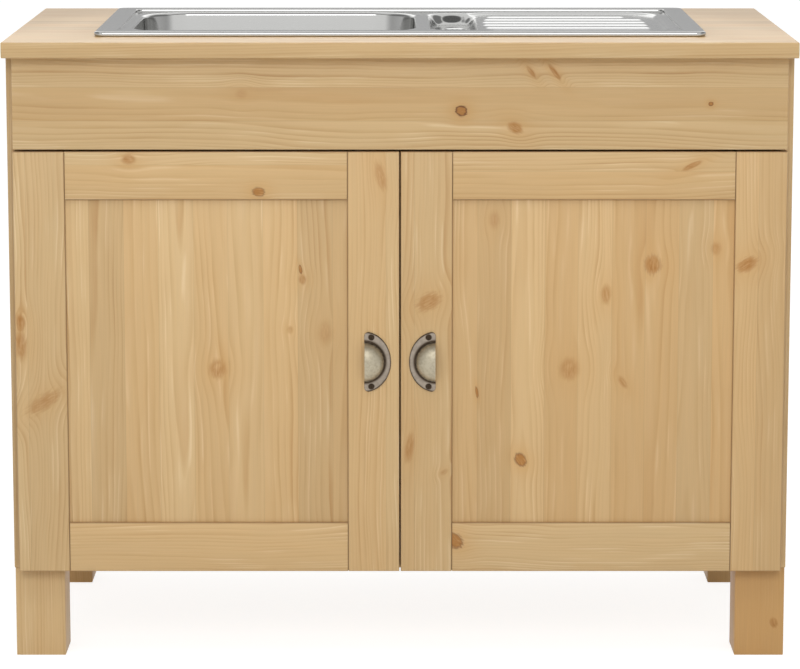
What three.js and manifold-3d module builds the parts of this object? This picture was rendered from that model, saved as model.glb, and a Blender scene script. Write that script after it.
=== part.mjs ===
// Sink base cabinet: a solid pine carcass on four square legs, with a worktop, an inset steel sink
// with a drainer, a fixed apron over two framed doors, concealed hinges, and the waste pipes inside.
//
// Millimetres. X runs across the width, Y from the front (negative) to the back, Z up.
// The origin is on the floor, under the middle of the worktop.

import * as THREE from 'three';
import { mergeVertices } from 'three/addons/utils/BufferGeometryUtils.js';
import Module from 'manifold-3d';

const wasm = await Module();
wasm.setup();

// ---------------------------------------------------------------- driving dimensions

const FIT = 0.3; // clearance between boards and parts that touch

// worktop
const TOP_WIDTH = 1100;
const TOP_DEPTH = 600;
const TOP_HEIGHT = 880; // floor to the worktop's upper face
const TOP_THICKNESS = 22;

// carcass
const SIDE_THICKNESS = 18;
const SIDE_OVERHANG = 2; // worktop past each side panel
const FRONT_OVERHANG = 41; // worktop's front edge to the side panels' front edges
const REAR_OVERHANG = 60; // worktop's rear edge to the side panels' rear edges
const BOTTOM_THICKNESS = 18;
const RAIL_THICKNESS = 18;
const FRONT_RAIL_HEIGHT = 80;
const REAR_RAIL_HEIGHT = 98;
const BACK_THICKNESS = 6;

// legs
const LEG_SIZE = 70;
const LEG_HEIGHT = 128.5; // floor to the underside of the carcass
const LEG_INSET_X = 1; // from the side panel's outer face
const FRONT_LEG_INSET = 2; // from the side panels' front edges
const REAR_LEG_INSET = 7; // from the side panels' rear edges

// opening in the back panel for the pipes
const PIPE_OPENING_WIDTH = 350; // ends left of the gap between the doors
const PIPE_OPENING_HEIGHT = 280;
const PIPE_OPENING_OFFSET = -14; // outlet pipe to the opening's middle, negative to the left
const PIPE_OPENING_DROP = 75; // outlet pipe down to the opening's middle
const PIPE_OPENING_RADIUS = 25;

// apron and doors
const FRONT_THICKNESS = 20; // apron and door frames
const APRON_HEIGHT = 128.5;
const FRONT_REVEAL = 9; // side panel's edge that shows beside a door
const APRON_REVEAL = 10;
const DOOR_BACK_GAP = 1; // door's back to the side panel's edge
const DOOR_TOP_GAP = 3; // door to apron
const DOOR_CENTRE_GAP = 2; // door to door
const STILE_WIDTH = 72;
const TOP_RAIL_WIDTH = 67;
const BOTTOM_RAIL_WIDTH = 70;
const PANEL_THICKNESS = 8;
const PANEL_RECESS = 3.5; // panel's face behind the frame's face
const GROOVE_DEPTH = 9;
const PANEL_PLAY = 1; // panel's edge to the groove's floor

// pulls
const PULL_LENGTH = 86;
const PULL_WIDTH = 37.4;
const PULL_PROJECTION = 19.5;
const PULL_HEIGHT = 430; // floor to the pull's middle
const PULL_OFFSET = 11.7; // door's inner edge to the pull's curved edge
const PULL_FLANGE = 1.8; // flange thickness
const PULL_WALL = 1.8;
const PULL_CORNER = 6; // rounding at the flange's ends
const CUP_LENGTH = 57;
const CUP_WIDTH = 28.5;
const CUP_SKIRT = 0.5; // mouth of the cup inside the flange's straight edge
const PULL_SCREW_SPACING = 70;
const PULL_SCREW_INSET = 10; // from the pull's straight edge
const PULL_SCREW_RADIUS = 1.6;
const PULL_SCREW_HEAD_RADIUS = 3.2;
const PULL_SCREW_HEAD_HEIGHT = 1.6;
const PULL_SCREW_HEAD_EDGE = 0.4; // head's upright edge

// sink
const SINK_WIDTH = 860;
const SINK_DEPTH = 435;
const SINK_SETBACK = 90; // worktop's front edge to the sink's front edge
const SINK_RADIUS = 15;
const SHEET = 1;
const RIM_HEIGHT = 7; // above the worktop
const RIM_WIDTH = 29;
const DECK_STEP = 4; // rim down to the deck
const DECK_RADIUS = 12;
const CUTOUT_MARGIN = 10; // sink's edge to the worktop's cut-out
const BOWL_WIDTH = 412;
const BOWL_DEPTH = 345; // front to back
const BOWL_HEIGHT = 155; // deck down to the bowl's floor
const BOWL_RADIUS = 80;
const BOWL_FLOOR_RADIUS = 28;
const BOWL_LEAN = 9; // each wall's foot inside its top
const BOWL_LEFT = 43; // sink's left edge to the bowl
const BOWL_FRONT = 52; // sink's front edge to the bowl
const DISH_WIDTH = 72;
const DISH_LENGTH = 292;
const DISH_HEIGHT = 16;
const DISH_LEAN = 6;
const DISH_FLOOR_RADIUS = 8;
const DISH_GAP = 17; // bowl to the dish
const TRAY_DEPTH = 3; // drainer tray below the deck
const TRAY_INTO_DISH = 24; // tray's left edge inside the dish's right edge
const TRAY_RIGHT_MARGIN = 44;
const TRAY_MARGIN_FRONT = 44;
const TRAY_MARGIN_REAR = 40;
const TRAY_RADIUS = 60;
const RIB_COUNT = 6;
const RIB_PITCH = 46.8;
const RIB_WIDTH = 20;
const RIB_HEIGHT = 2.4;
const RIB_LEFT = 28; // tray's left edge to the ribs
const RIB_RIGHT = 36; // ribs to the tray's right edge

// sink fixings
const SEAL_WIDTH = 6;
const SEAL_INSET = 2.5;
const CLAMP_WIDTH = 24;
const CLAMP_X = 250; // from the middle of the sink
const CLAMP_REACH = 6.5;
const CLAMP_HOOK = 6;
const CLAMP_THICKNESS = 2.5;

// waste and trap
const WASTE_HOLE_RADIUS = 45;
const WASTE_FLANGE_RADIUS = 56;
const WASTE_WALL = 1.5;
const WASTE_PLAY = 0.5;
const WASTE_CUP_DEPTH = 48;
const WASTE_BODY_RADIUS = 58;
const WASTE_BODY_COLLAR = 8;
const WASTE_CONE = 12;
const PIPE_WALL = 2.5;
const FLANGE_TUBE = 12; // flange's tube below the bowl's floor
const BASKET_DEPTH = 24;
const BASKET_TAPER = 11;
const BASKET_RIM = 3;
const BASKET_WALL = 1.2;
const KNOB_RADIUS = 8;
const KNOB_STEM_RADIUS = 3;
const KNOB_HEIGHT = 6;
const DISH_WASTE_RADIUS = 17;
const DISH_WASTE_HEIGHT = 26;
const DISH_WASTE_COLLAR = 6;
const DISH_WASTE_COLLAR_REACH = 7;
const DISH_WASTE_BORE = 14;
const DISH_WASTE_X = 3; // right of the dish's middle
const DISH_WASTE_Y = 45; // behind the dish's middle
const TUBE_RADIUS = 11;
const TUBE_BEND = 60; // corner to each end of the bend
const TUBE_BEND_STEPS = 24;
const TUBE_GAP = 1; // tube's end to the waste body
const TAIL_RADIUS = 20;
const TRAP_RADIUS = 34;
const TRAP_HEIGHT = 120;
const TRAP_DROP = 118; // bowl's floor to the trap's top
const TRAP_FOOT = 10; // bottom's flat inside the trap's wall
const TRAP_FOOT_HEIGHT = 12;
const TRAP_NUT_REACH = 3; // nut's wall outside the trap's
const TRAP_NUT_TOP = 8; // below the trap's top
const TRAP_NUT_HEIGHT = 20;
const TRAP_NECK = 4; // nut's upper opening outside the tail pipe
const OUTLET_GAP = 4; // trap to the outlet pipe
const OUTLET_RADIUS = 20;
const OUTLET_DROP = 35; // trap's top to the outlet pipe
const OUTLET_REACH = 45; // past the back panel

// hinges
const HINGE_END_DISTANCE = 95; // door's end to the hinge's middle
const CUP_BORE_RADIUS = 17.5;
const CUP_BORE_DEPTH = 13;
const CUP_EDGE_DISTANCE = 22.5; // door's edge to the cup's centre
const CUP_WALL = 1;
const CUP_PLAY = 0.3; // cup in its bore
const CUP_WING_WIDTH = 12;
const CUP_WING_REACH = 24; // flange wings, from the cup's centre
const CUP_WING_INNER = 13;
const CUP_WING_THICKNESS = 1.5;
const CUP_DIP = 2.5; // wall cut down where the links cross it with the door open
const CUP_DIP_HALF = 7;
// Pivots in the hinge's plan: x from the cup's centre, y from the door's back.
const OUTER_PIVOT_ARM = [13.1, 1.7];
const OUTER_PIVOT_CUP = [-12, -6.4];
const OUTER_LINK_BEND = 14.4; // link's middle, to the side of the line between its pivots
const INNER_PIVOT_ARM = [12.7, -7];
const INNER_PIVOT_CUP = [-7.6, -4];
const INNER_LINK_BEND = 5.6;
const LINK_WIDTH = 3.8;
const LINK_HEIGHT = 4.5;
const LINK_GAP = 1; // hinge's mid-plane to each link
const LINK_EYE_RADIUS = 2.4;
const LINK_BORE = 1.5;
const PIVOT_RADIUS = 1.2;
const ARM_WEB = 1.4; // plate between the links
const ARM_WEB_RADIUS = 2.8;
const ARM_HEIGHT = 14;
const ARM_FRONT = 14; // arm's thick part behind the door's back
const ARM_LENGTH = 58;
const ARM_THICKNESS = 9;
const ARM_OFFSET = 2; // cup's centre to the arm's middle
const ARM_FOOT_FRONT = 4; // arm's front to its foot
const ARM_REAR_STEP = 2; // foot past the arm at the rear
const ARM_NECK = 8; // web's root inside the arm
const ARM_PLATE_FRONT = 14; // arm's front to the mounting plate
const ARM_PLATE_WIDTH = 18;
const ARM_PLATE_HEIGHT = 46;
const ARM_PLATE_THICKNESS = 2.5;

// ---------------------------------------------------------------- finishes

const FINISH = {
  pine: { color: 0xe3bd85, roughness: 0.55, metalness: 0 },
  pine_panel: { color: 0xd9b077, roughness: 0.6, metalness: 0 },
  steel: { color: 0xc3c5c6, roughness: 0.25, metalness: 1 },
  antique: { color: 0x8c8474, roughness: 0.4, metalness: 1 },
  zinc: { color: 0xb4b6b8, roughness: 0.35, metalness: 1 },
  white_plastic: { color: 0xe8e8e4, roughness: 0.5, metalness: 0 },
  seal: { color: 0x3a3a3a, roughness: 0.9, metalness: 0 },
};

// ---------------------------------------------------------------- solids

// A closed solid from a three.js geometry.
function solid(geometry) {
  const plain = geometry.index ? geometry.toNonIndexed() : geometry.clone();
  plain.deleteAttribute('normal');
  plain.deleteAttribute('uv');
  const merged = mergeVertices(plain, 1e-4);
  return new wasm.Manifold(new wasm.Mesh({
    numProp: 3,
    vertProperties: new Float32Array(merged.attributes.position.array),
    triVerts: new Uint32Array(merged.index.array),
  }));
}

// A three.js geometry from a closed solid.
function toGeometry(shape) {
  const mesh = shape.getMesh();
  const geometry = new THREE.BufferGeometry();
  geometry.setAttribute('position', new THREE.BufferAttribute(mesh.vertProperties.slice(), 3));
  geometry.setIndex(new THREE.BufferAttribute(mesh.triVerts.slice(), 1));
  return geometry;
}

// A box from its lowest and highest corners.
function boxBetween(low, high) {
  const size = high.map((value, axis) => value - low[axis]);
  const geometry = new THREE.BoxGeometry(...size);
  return geometry.translate(...low.map((value, axis) => value + size[axis] / 2));
}

// A rectangle with round corners, about a centre.
function roundedRectangle({ width, depth, radius, x = 0, y = 0 }) {
  const shape = new THREE.Shape();
  const right = x + width / 2;
  const left = x - width / 2;
  const back = y + depth / 2;
  const front = y - depth / 2;
  shape.moveTo(left + radius, front);
  shape.lineTo(right - radius, front);
  shape.absarc(right - radius, front + radius, radius, -Math.PI / 2, 0);
  shape.lineTo(right, back - radius);
  shape.absarc(right - radius, back - radius, radius, 0, Math.PI / 2);
  shape.lineTo(left + radius, back);
  shape.absarc(left + radius, back - radius, radius, Math.PI / 2, Math.PI);
  shape.lineTo(left, front + radius);
  shape.absarc(left + radius, front + radius, radius, Math.PI, 1.5 * Math.PI);
  return shape;
}

// An upright prism of a plan outline between two heights.
function prism(shape, low, high, curveSegments = 6) {
  const geometry = new THREE.ExtrudeGeometry(shape, {
    depth: high - low,
    bevelEnabled: false,
    curveSegments,
  });
  return geometry.translate(0, 0, low);
}

// Points round a rectangle with round corners, at one height.
function roundedRing({ width, depth, radius, x, y }, inset, z, cornerSteps = 5) {
  const points = [];
  const r = Math.max(radius - inset, 1);
  const halfWidth = width / 2 - inset - r;
  const halfDepth = depth / 2 - inset - r;
  const corners = [[1, -1], [1, 1], [-1, 1], [-1, -1]];
  corners.forEach(([right, back], corner) => {
    for (let step = 0; step <= cornerSteps; step += 1) {
      const angle = (corner - 1 + step / cornerSteps) * (Math.PI / 2);
      points.push(new THREE.Vector3(
        x + right * halfWidth + r * Math.cos(angle),
        y + back * halfDepth + r * Math.sin(angle),
        z,
      ));
    }
  });
  return points;
}

// A closed solid through rings of equally many points, from the lowest ring to the highest.
function loft(rings) {
  const count = rings[0].length;
  const centres = [rings[0], rings[rings.length - 1]].map((ring) => {
    const centre = new THREE.Vector3();
    ring.forEach((point) => centre.add(point));
    return centre.divideScalar(count);
  });
  const points = [...rings.flat(), ...centres];
  const lowest = rings.length * count;
  const lastRing = (rings.length - 1) * count;
  const faces = [];
  for (let i = 0; i < count; i += 1) {
    const next = (i + 1) % count;
    for (let ring = 0; ring < rings.length - 1; ring += 1) {
      const a = ring * count + i;
      const b = ring * count + next;
      faces.push(a, b, b + count, a, b + count, a + count);
    }
    faces.push(lowest, next, i);
    faces.push(lowest + 1, lastRing + i, lastRing + next);
  }
  const geometry = new THREE.BufferGeometry();
  geometry.setAttribute('position', new THREE.Float32BufferAttribute(
    points.flatMap((point) => [point.x, point.y, point.z]),
    3,
  ));
  geometry.setIndex(faces);
  return geometry;
}

// A basin: its walls lean in towards the floor and turn into it with a radius.
function basin(outline, floor, top, { lean = 0, floorRadius = 8, floorSteps = 3 }) {
  const rings = [];
  for (let step = 0; step <= floorSteps; step += 1) {
    const angle = (step / floorSteps) * (Math.PI / 2);
    rings.push(roundedRing(
      outline,
      lean + floorRadius * (1 - Math.sin(angle)),
      floor + floorRadius * (1 - Math.cos(angle)),
    ));
  }
  rings.push(roundedRing(outline, 0, top));
  return solid(loft(rings));
}

// A solid of revolution about an upright axis, from [radius, height] points in either order.
function turned(points, x, y, segments = 24) {
  const profile = points.map(([radius, height]) => new THREE.Vector2(radius, height));
  if (THREE.ShapeUtils.isClockWise(profile)) profile.reverse();
  const geometry = new THREE.LatheGeometry(profile, segments);
  geometry.rotateX(Math.PI / 2);
  return geometry.translate(x, y, 0);
}

// An upright rod.
function rod(x, y, radius, low, high, sides = 12) {
  return solid(turned([[0, low], [radius, low], [radius, high], [0, high]], x, y, sides));
}

// A round bar along a curve.
function barAlong(curve, radius, steps, sides) {
  const section = new THREE.Shape();
  section.absarc(0, 0, radius, 0, 2 * Math.PI);
  return new THREE.ExtrudeGeometry(section, {
    steps,
    extrudePath: curve,
    curveSegments: sides,
    bevelEnabled: false,
  });
}

const cabinet = new THREE.Group();

// Adds one named piece to the cabinet.
function add(name, geometry, finish) {
  geometry.deleteAttribute('uv');
  geometry.computeVertexNormals();
  const mesh = new THREE.Mesh(geometry, new THREE.MeshStandardMaterial(FINISH[finish]));
  mesh.name = name;
  cabinet.add(mesh);
}

const SIDES = [
  { side: 'left', sign: -1 },
  { side: 'right', sign: 1 },
];

// ---------------------------------------------------------------- carcass

const topFront = -TOP_DEPTH / 2;
const topRear = TOP_DEPTH / 2;
const topUnderside = TOP_HEIGHT - TOP_THICKNESS;
const carcassTop = topUnderside - FIT;
const sideOuter = TOP_WIDTH / 2 - SIDE_OVERHANG;
const sideInner = sideOuter - SIDE_THICKNESS;
const sideFront = topFront + FRONT_OVERHANG;
const sideRear = topRear - REAR_OVERHANG;
const innerHalf = sideInner - FIT; // half width of the boards between the sides

const sinkFront = topFront + SINK_SETBACK;
const sinkRear = sinkFront + SINK_DEPTH;
const sinkY = (sinkFront + sinkRear) / 2;

function makeWorktop() {
  const board = solid(boxBetween(
    [-TOP_WIDTH / 2, topFront, topUnderside],
    [TOP_WIDTH / 2, topRear, TOP_HEIGHT],
  ));
  const cutout = prism(
    roundedRectangle({
      width: SINK_WIDTH - 2 * CUTOUT_MARGIN,
      depth: SINK_DEPTH - 2 * CUTOUT_MARGIN,
      radius: SINK_RADIUS,
      y: sinkY,
    }),
    topUnderside - 1,
    TOP_HEIGHT + 1,
  );
  add('worktop', toGeometry(board.subtract(solid(cutout))), 'pine');
}

function makeSidePanels() {
  for (const { side, sign } of SIDES) {
    const faces = [sign * sideInner, sign * sideOuter].sort((a, b) => a - b);
    add(
      `side_panel_${side}`,
      boxBetween([faces[0], sideFront, LEG_HEIGHT], [faces[1], sideRear, carcassTop]),
      'pine',
    );
  }
}

const floorTop = LEG_HEIGHT + BOTTOM_THICKNESS;
const backFront = sideRear - BACK_THICKNESS;
const backTop = carcassTop - REAR_RAIL_HEIGHT - FIT;

function makeInnerBoards() {
  add(
    'bottom_panel',
    boxBetween([-innerHalf, sideFront, LEG_HEIGHT], [innerHalf, sideRear, floorTop]),
    'pine',
  );
  add(
    'front_top_rail',
    boxBetween(
      [-innerHalf, sideFront, carcassTop - FRONT_RAIL_HEIGHT],
      [innerHalf, sideFront + RAIL_THICKNESS, carcassTop],
    ),
    'pine',
  );
  add(
    'rear_top_rail',
    boxBetween(
      [-innerHalf, sideRear - RAIL_THICKNESS, carcassTop - REAR_RAIL_HEIGHT],
      [innerHalf, sideRear, carcassTop],
    ),
    'pine',
  );
}

function makeBackPanel() {
  const board = solid(boxBetween(
    [-innerHalf, backFront, floorTop + FIT],
    [innerHalf, sideRear, backTop],
  ));
  const opening = prism(
    roundedRectangle({
      width: PIPE_OPENING_WIDTH,
      depth: PIPE_OPENING_HEIGHT,
      radius: PIPE_OPENING_RADIUS,
      x: bowlX + PIPE_OPENING_OFFSET,
      y: outletZ - PIPE_OPENING_DROP,
    }),
    -1,
    BACK_THICKNESS + 1,
    4,
  );
  opening.rotateX(Math.PI / 2); // plan's Y becomes height, and the depth runs to the front
  opening.translate(0, sideRear, 0);
  add('back_panel', toGeometry(board.subtract(solid(opening))), 'pine_panel');
}

function makeLegs() {
  const legTop = LEG_HEIGHT - FIT;
  const outer = sideOuter - LEG_INSET_X;
  const rows = [
    { row: 'front', front: sideFront + FRONT_LEG_INSET },
    { row: 'rear', front: sideRear - REAR_LEG_INSET - LEG_SIZE },
  ];
  for (const { row, front } of rows) {
    for (const { side, sign } of SIDES) {
      const faces = [sign * outer, sign * (outer - LEG_SIZE)].sort((a, b) => a - b);
      add(
        `leg_${row}_${side}`,
        boxBetween([faces[0], front, 0], [faces[1], front + LEG_SIZE, legTop]),
        'pine',
      );
    }
  }
}

// ---------------------------------------------------------------- apron and doors

const apronBottom = carcassTop - APRON_HEIGHT;
const doorBottom = LEG_HEIGHT;
const doorTop = apronBottom - DOOR_TOP_GAP;
const doorBack = sideFront - DOOR_BACK_GAP;
const doorFront = doorBack - FRONT_THICKNESS;
const doorOuter = sideOuter - FRONT_REVEAL;
const doorInner = DOOR_CENTRE_GAP / 2;
const hingeHeights = [
  { place: 'lower', z: doorBottom + HINGE_END_DISTANCE },
  { place: 'upper', z: doorTop - HINGE_END_DISTANCE },
];

function makeApron() {
  const half = sideOuter - APRON_REVEAL;
  const back = sideFront - FIT;
  add(
    'front_apron',
    boxBetween([-half, back - FRONT_THICKNESS, apronBottom], [half, back, carcassTop]),
    'pine',
  );
}

// front and back of the groove that holds the panel
const grooveFront = doorFront + PANEL_RECESS - FIT;
const grooveBack = doorFront + PANEL_RECESS + PANEL_THICKNESS + FIT;

function makeDoor(side, sign) {
  // distances across the door are measured from the cabinet's middle, and mirrored by the sign
  const across = (a, b) => [sign * a, sign * b].sort((p, q) => p - q);
  const outerStile = [doorOuter - STILE_WIDTH, doorOuter];
  const innerStile = [doorInner, doorInner + STILE_WIDTH];
  const frameBottom = doorBottom + BOTTOM_RAIL_WIDTH;
  const frameTop = doorTop - TOP_RAIL_WIDTH;

  // stiles: full height, grooved along the inner edge
  for (const [name, span, grooveAt] of [
    ['hinge_stile', outerStile, [outerStile[0] - 1, outerStile[0] + GROOVE_DEPTH]],
    ['pull_stile', innerStile, [innerStile[1] - GROOVE_DEPTH, innerStile[1] + 1]],
  ]) {
    const x = across(...span);
    const groove = across(...grooveAt);
    let stile = solid(boxBetween([x[0], doorFront, doorBottom], [x[1], doorBack, doorTop]));
    stile = stile.subtract(solid(boxBetween(
      [groove[0], grooveFront, doorBottom - 1],
      [groove[1], grooveBack, doorTop + 1],
    )));
    if (name === 'hinge_stile') {
      for (const { z } of hingeHeights) {
        const run = CUP_BORE_DEPTH + 1; // one past the door's back, to cut through it
        const bore = new THREE.CylinderGeometry(CUP_BORE_RADIUS, CUP_BORE_RADIUS, run, 24);
        bore.translate(sign * (doorOuter - CUP_EDGE_DISTANCE), doorBack + 1 - run / 2, z);
        stile = stile.subtract(solid(bore));
      }
    }
    add(`${side}_door_${name}`, toGeometry(stile), 'pine');
  }

  // rails: between the stiles, with stub tenons in the stiles' grooves
  const railSpan = across(innerStile[1] + FIT, outerStile[0] - FIT);
  const tenonSpan = [railSpan[0] - GROOVE_DEPTH + PANEL_PLAY, railSpan[1] + GROOVE_DEPTH - PANEL_PLAY];
  for (const [name, low, high, grooveLow, grooveHigh] of [
    ['bottom_rail', doorBottom, frameBottom, frameBottom - GROOVE_DEPTH, frameBottom + 1],
    ['top_rail', frameTop, doorTop, frameTop - 1, frameTop + GROOVE_DEPTH],
  ]) {
    let rail = solid(boxBetween([railSpan[0], doorFront, low], [railSpan[1], doorBack, high]));
    rail = rail.add(solid(boxBetween(
      [tenonSpan[0], grooveFront + FIT, low],
      [tenonSpan[1], grooveBack - FIT, high],
    )));
    rail = rail.subtract(solid(boxBetween(
      [tenonSpan[0] - 1, grooveFront, grooveLow],
      [tenonSpan[1] + 1, grooveBack, grooveHigh],
    )));
    add(`${side}_door_${name}`, toGeometry(rail), 'pine');
  }

  // panel: loose in the grooves
  const intoGroove = GROOVE_DEPTH - PANEL_PLAY;
  const panel = across(innerStile[1] - intoGroove, outerStile[0] + intoGroove);
  add(
    `${side}_door_panel`,
    boxBetween(
      [panel[0], doorFront + PANEL_RECESS, frameBottom - intoGroove],
      [panel[1], doorFront + PANEL_RECESS + PANEL_THICKNESS, frameTop + intoGroove],
    ),
    'pine_panel',
  );
}

// ---------------------------------------------------------------- hinges

// Puts a hinge piece in its place. The piece is drawn in plan, with x from the cup's centre
// towards the cabinet's middle, y from the door's back, and z from the hinge's mid-plane.
function placeHinge(name, shape, sign, z, finish) {
  const geometry = toGeometry(shape);
  if (sign > 0) {
    geometry.scale(-1, 1, 1);
    flipFaces(geometry);
  }
  geometry.translate(sign * (doorOuter - CUP_EDGE_DISTANCE), doorBack, z);
  add(name, geometry, finish);
}

// A flat curved link with an eye at each pivot.
function makeLink(armPivot, cupPivot, bend, low, cupBore) {
  const start = new THREE.Vector2(...armPivot);
  const end = new THREE.Vector2(...cupPivot);
  const along = end.clone().sub(start).normalize();
  const side = new THREE.Vector2(-along.y, along.x);
  const middle = start.clone().add(end).multiplyScalar(0.5).addScaledVector(side, bend);
  const curve = new THREE.QuadraticBezierCurve(start, middle, end);
  const steps = 8;
  const edges = [[], []];
  for (let i = 0; i <= steps; i += 1) {
    const point = curve.getPoint(i / steps);
    const tangent = curve.getTangent(i / steps);
    const across = new THREE.Vector2(-tangent.y, tangent.x).multiplyScalar(LINK_WIDTH / 2);
    edges[0].push(point.clone().sub(across));
    edges[1].unshift(point.clone().add(across));
  }
  const high = low + LINK_HEIGHT;
  let link = solid(prism(new THREE.Shape([...edges[0], ...edges[1]]), low, high))
    .add(rod(...armPivot, LINK_EYE_RADIUS, low, high, 16))
    .add(rod(...cupPivot, LINK_EYE_RADIUS, low, high, 16))
    .subtract(rod(...armPivot, LINK_BORE, low - 1, high + 1));
  if (cupBore) link = link.subtract(rod(...cupPivot, LINK_BORE, low - 1, high + 1));
  return link;
}

// The cup in the door's back, with its two screw wings and the pin that the outer link turns on.
function makeHingeCup() {
  const radius = CUP_BORE_RADIUS - CUP_PLAY;
  const depth = CUP_BORE_DEPTH - CUP_PLAY;
  const wingFace = CUP_PLAY + CUP_WING_THICKNESS;
  const halfWing = CUP_WING_WIDTH / 2;
  const cylinder = (r, front, back) => {
    const geometry = new THREE.CylinderGeometry(r, r, back - front, 24);
    return solid(geometry.translate(0, (front + back) / 2, 0));
  };
  // the wall ends level with the door's back, and dips beside the outer link's pin
  const dip = boxBetween(
    [-radius - 1, -CUP_DIP, -CUP_DIP_HALF],
    [-radius / 2, 1, CUP_DIP_HALF],
  );
  let cup = cylinder(radius, -depth, 0)
    .subtract(cylinder(radius - CUP_WALL, -depth + CUP_WALL, 1))
    .subtract(solid(dip));
  for (const end of [-1, 1]) {
    const heights = [end * CUP_WING_INNER, end * CUP_WING_REACH].sort((p, q) => p - q);
    const root = solid(boxBetween(
      [-halfWing, -CUP_WALL, heights[0]],
      [halfWing, wingFace, heights[1]],
    ));
    const wing = solid(boxBetween(
      [-halfWing, CUP_PLAY, heights[0]],
      [halfWing, wingFace, heights[1]],
    ));
    cup = cup.add(root.intersect(cylinder(radius, -CUP_WALL, wingFace))).add(wing);
  }
  const [pinX, pinY] = OUTER_PIVOT_CUP;
  const pinTop = Math.sqrt((radius - CUP_WALL / 2) ** 2 - (PIVOT_RADIUS - pinX) ** 2);
  return cup.add(rod(pinX, pinY, PIVOT_RADIUS, LINK_GAP, pinTop));
}

// The arm: a mounting plate on the side panel, a bar along it, and a web with two pins in front.
function makeHingeArm() {
  const rear = ARM_FRONT + ARM_LENGTH;
  const barInner = ARM_OFFSET - ARM_THICKNESS / 2;
  const barOuter = ARM_OFFSET + ARM_THICKNESS / 2;
  const side = doorOuter - CUP_EDGE_DISTANCE - sideInner + FIT; // side panel's face
  const plateFront = ARM_FRONT + ARM_PLATE_FRONT;
  const mountingPlate = solid(boxBetween(
    [side, plateFront, -ARM_PLATE_HEIGHT / 2],
    [side + ARM_PLATE_THICKNESS, plateFront + ARM_PLATE_WIDTH, ARM_PLATE_HEIGHT / 2],
  ));
  const foot = solid(boxBetween(
    [side, ARM_FRONT + ARM_FOOT_FRONT, -ARM_HEIGHT / 2],
    [barInner + 1, rear, ARM_HEIGHT / 2],
  ));
  const bar = solid(boxBetween(
    [barInner, ARM_FRONT, -ARM_HEIGHT / 2],
    [barOuter, rear - ARM_REAR_STEP, ARM_HEIGHT / 2],
  ));
  // web: round the two pivots and back into the bar
  const web = new THREE.Shape();
  const [outerX, outerY] = OUTER_PIVOT_ARM;
  const [innerX, innerY] = INNER_PIVOT_ARM;
  web.moveTo(barInner + 1, ARM_FRONT + ARM_NECK);
  web.lineTo(barInner + ARM_WEB_RADIUS, ARM_FRONT);
  web.lineTo(outerX - ARM_WEB_RADIUS, outerY);
  web.lineTo(innerX - ARM_WEB_RADIUS, innerY);
  web.absarc(innerX, innerY, ARM_WEB_RADIUS, Math.PI, 2 * Math.PI);
  web.lineTo(outerX + ARM_WEB_RADIUS, outerY);
  web.lineTo(outerX, ARM_FRONT - ARM_WEB_RADIUS);
  web.lineTo(barOuter - 1, ARM_FRONT + ARM_NECK);
  const pinEnd = LINK_GAP + LINK_HEIGHT;
  return mountingPlate.add(foot).add(bar)
    .add(solid(prism(web, -ARM_WEB / 2, ARM_WEB / 2, 6)))
    .add(rod(outerX, outerY, PIVOT_RADIUS, 0, pinEnd))
    .add(rod(innerX, innerY, PIVOT_RADIUS, -pinEnd, 0));
}

function makeHinges(side, sign) {
  for (const { place, z } of hingeHeights) {
    const outerLink = makeLink(OUTER_PIVOT_ARM, OUTER_PIVOT_CUP, OUTER_LINK_BEND, LINK_GAP, true);
    const innerLink = makeLink(
      INNER_PIVOT_ARM,
      INNER_PIVOT_CUP,
      INNER_LINK_BEND,
      -LINK_GAP - LINK_HEIGHT,
      false,
    );
    placeHinge(`${side}_hinge_cup_${place}`, makeHingeCup(), sign, z, 'zinc');
    placeHinge(`${side}_hinge_arm_${place}`, makeHingeArm(), sign, z, 'zinc');
    placeHinge(`${side}_hinge_outer_link_${place}`, outerLink, sign, z, 'zinc');
    placeHinge(`${side}_hinge_inner_link_${place}`, innerLink, sign, z, 'zinc');
  }
}

// ---------------------------------------------------------------- pulls

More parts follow.
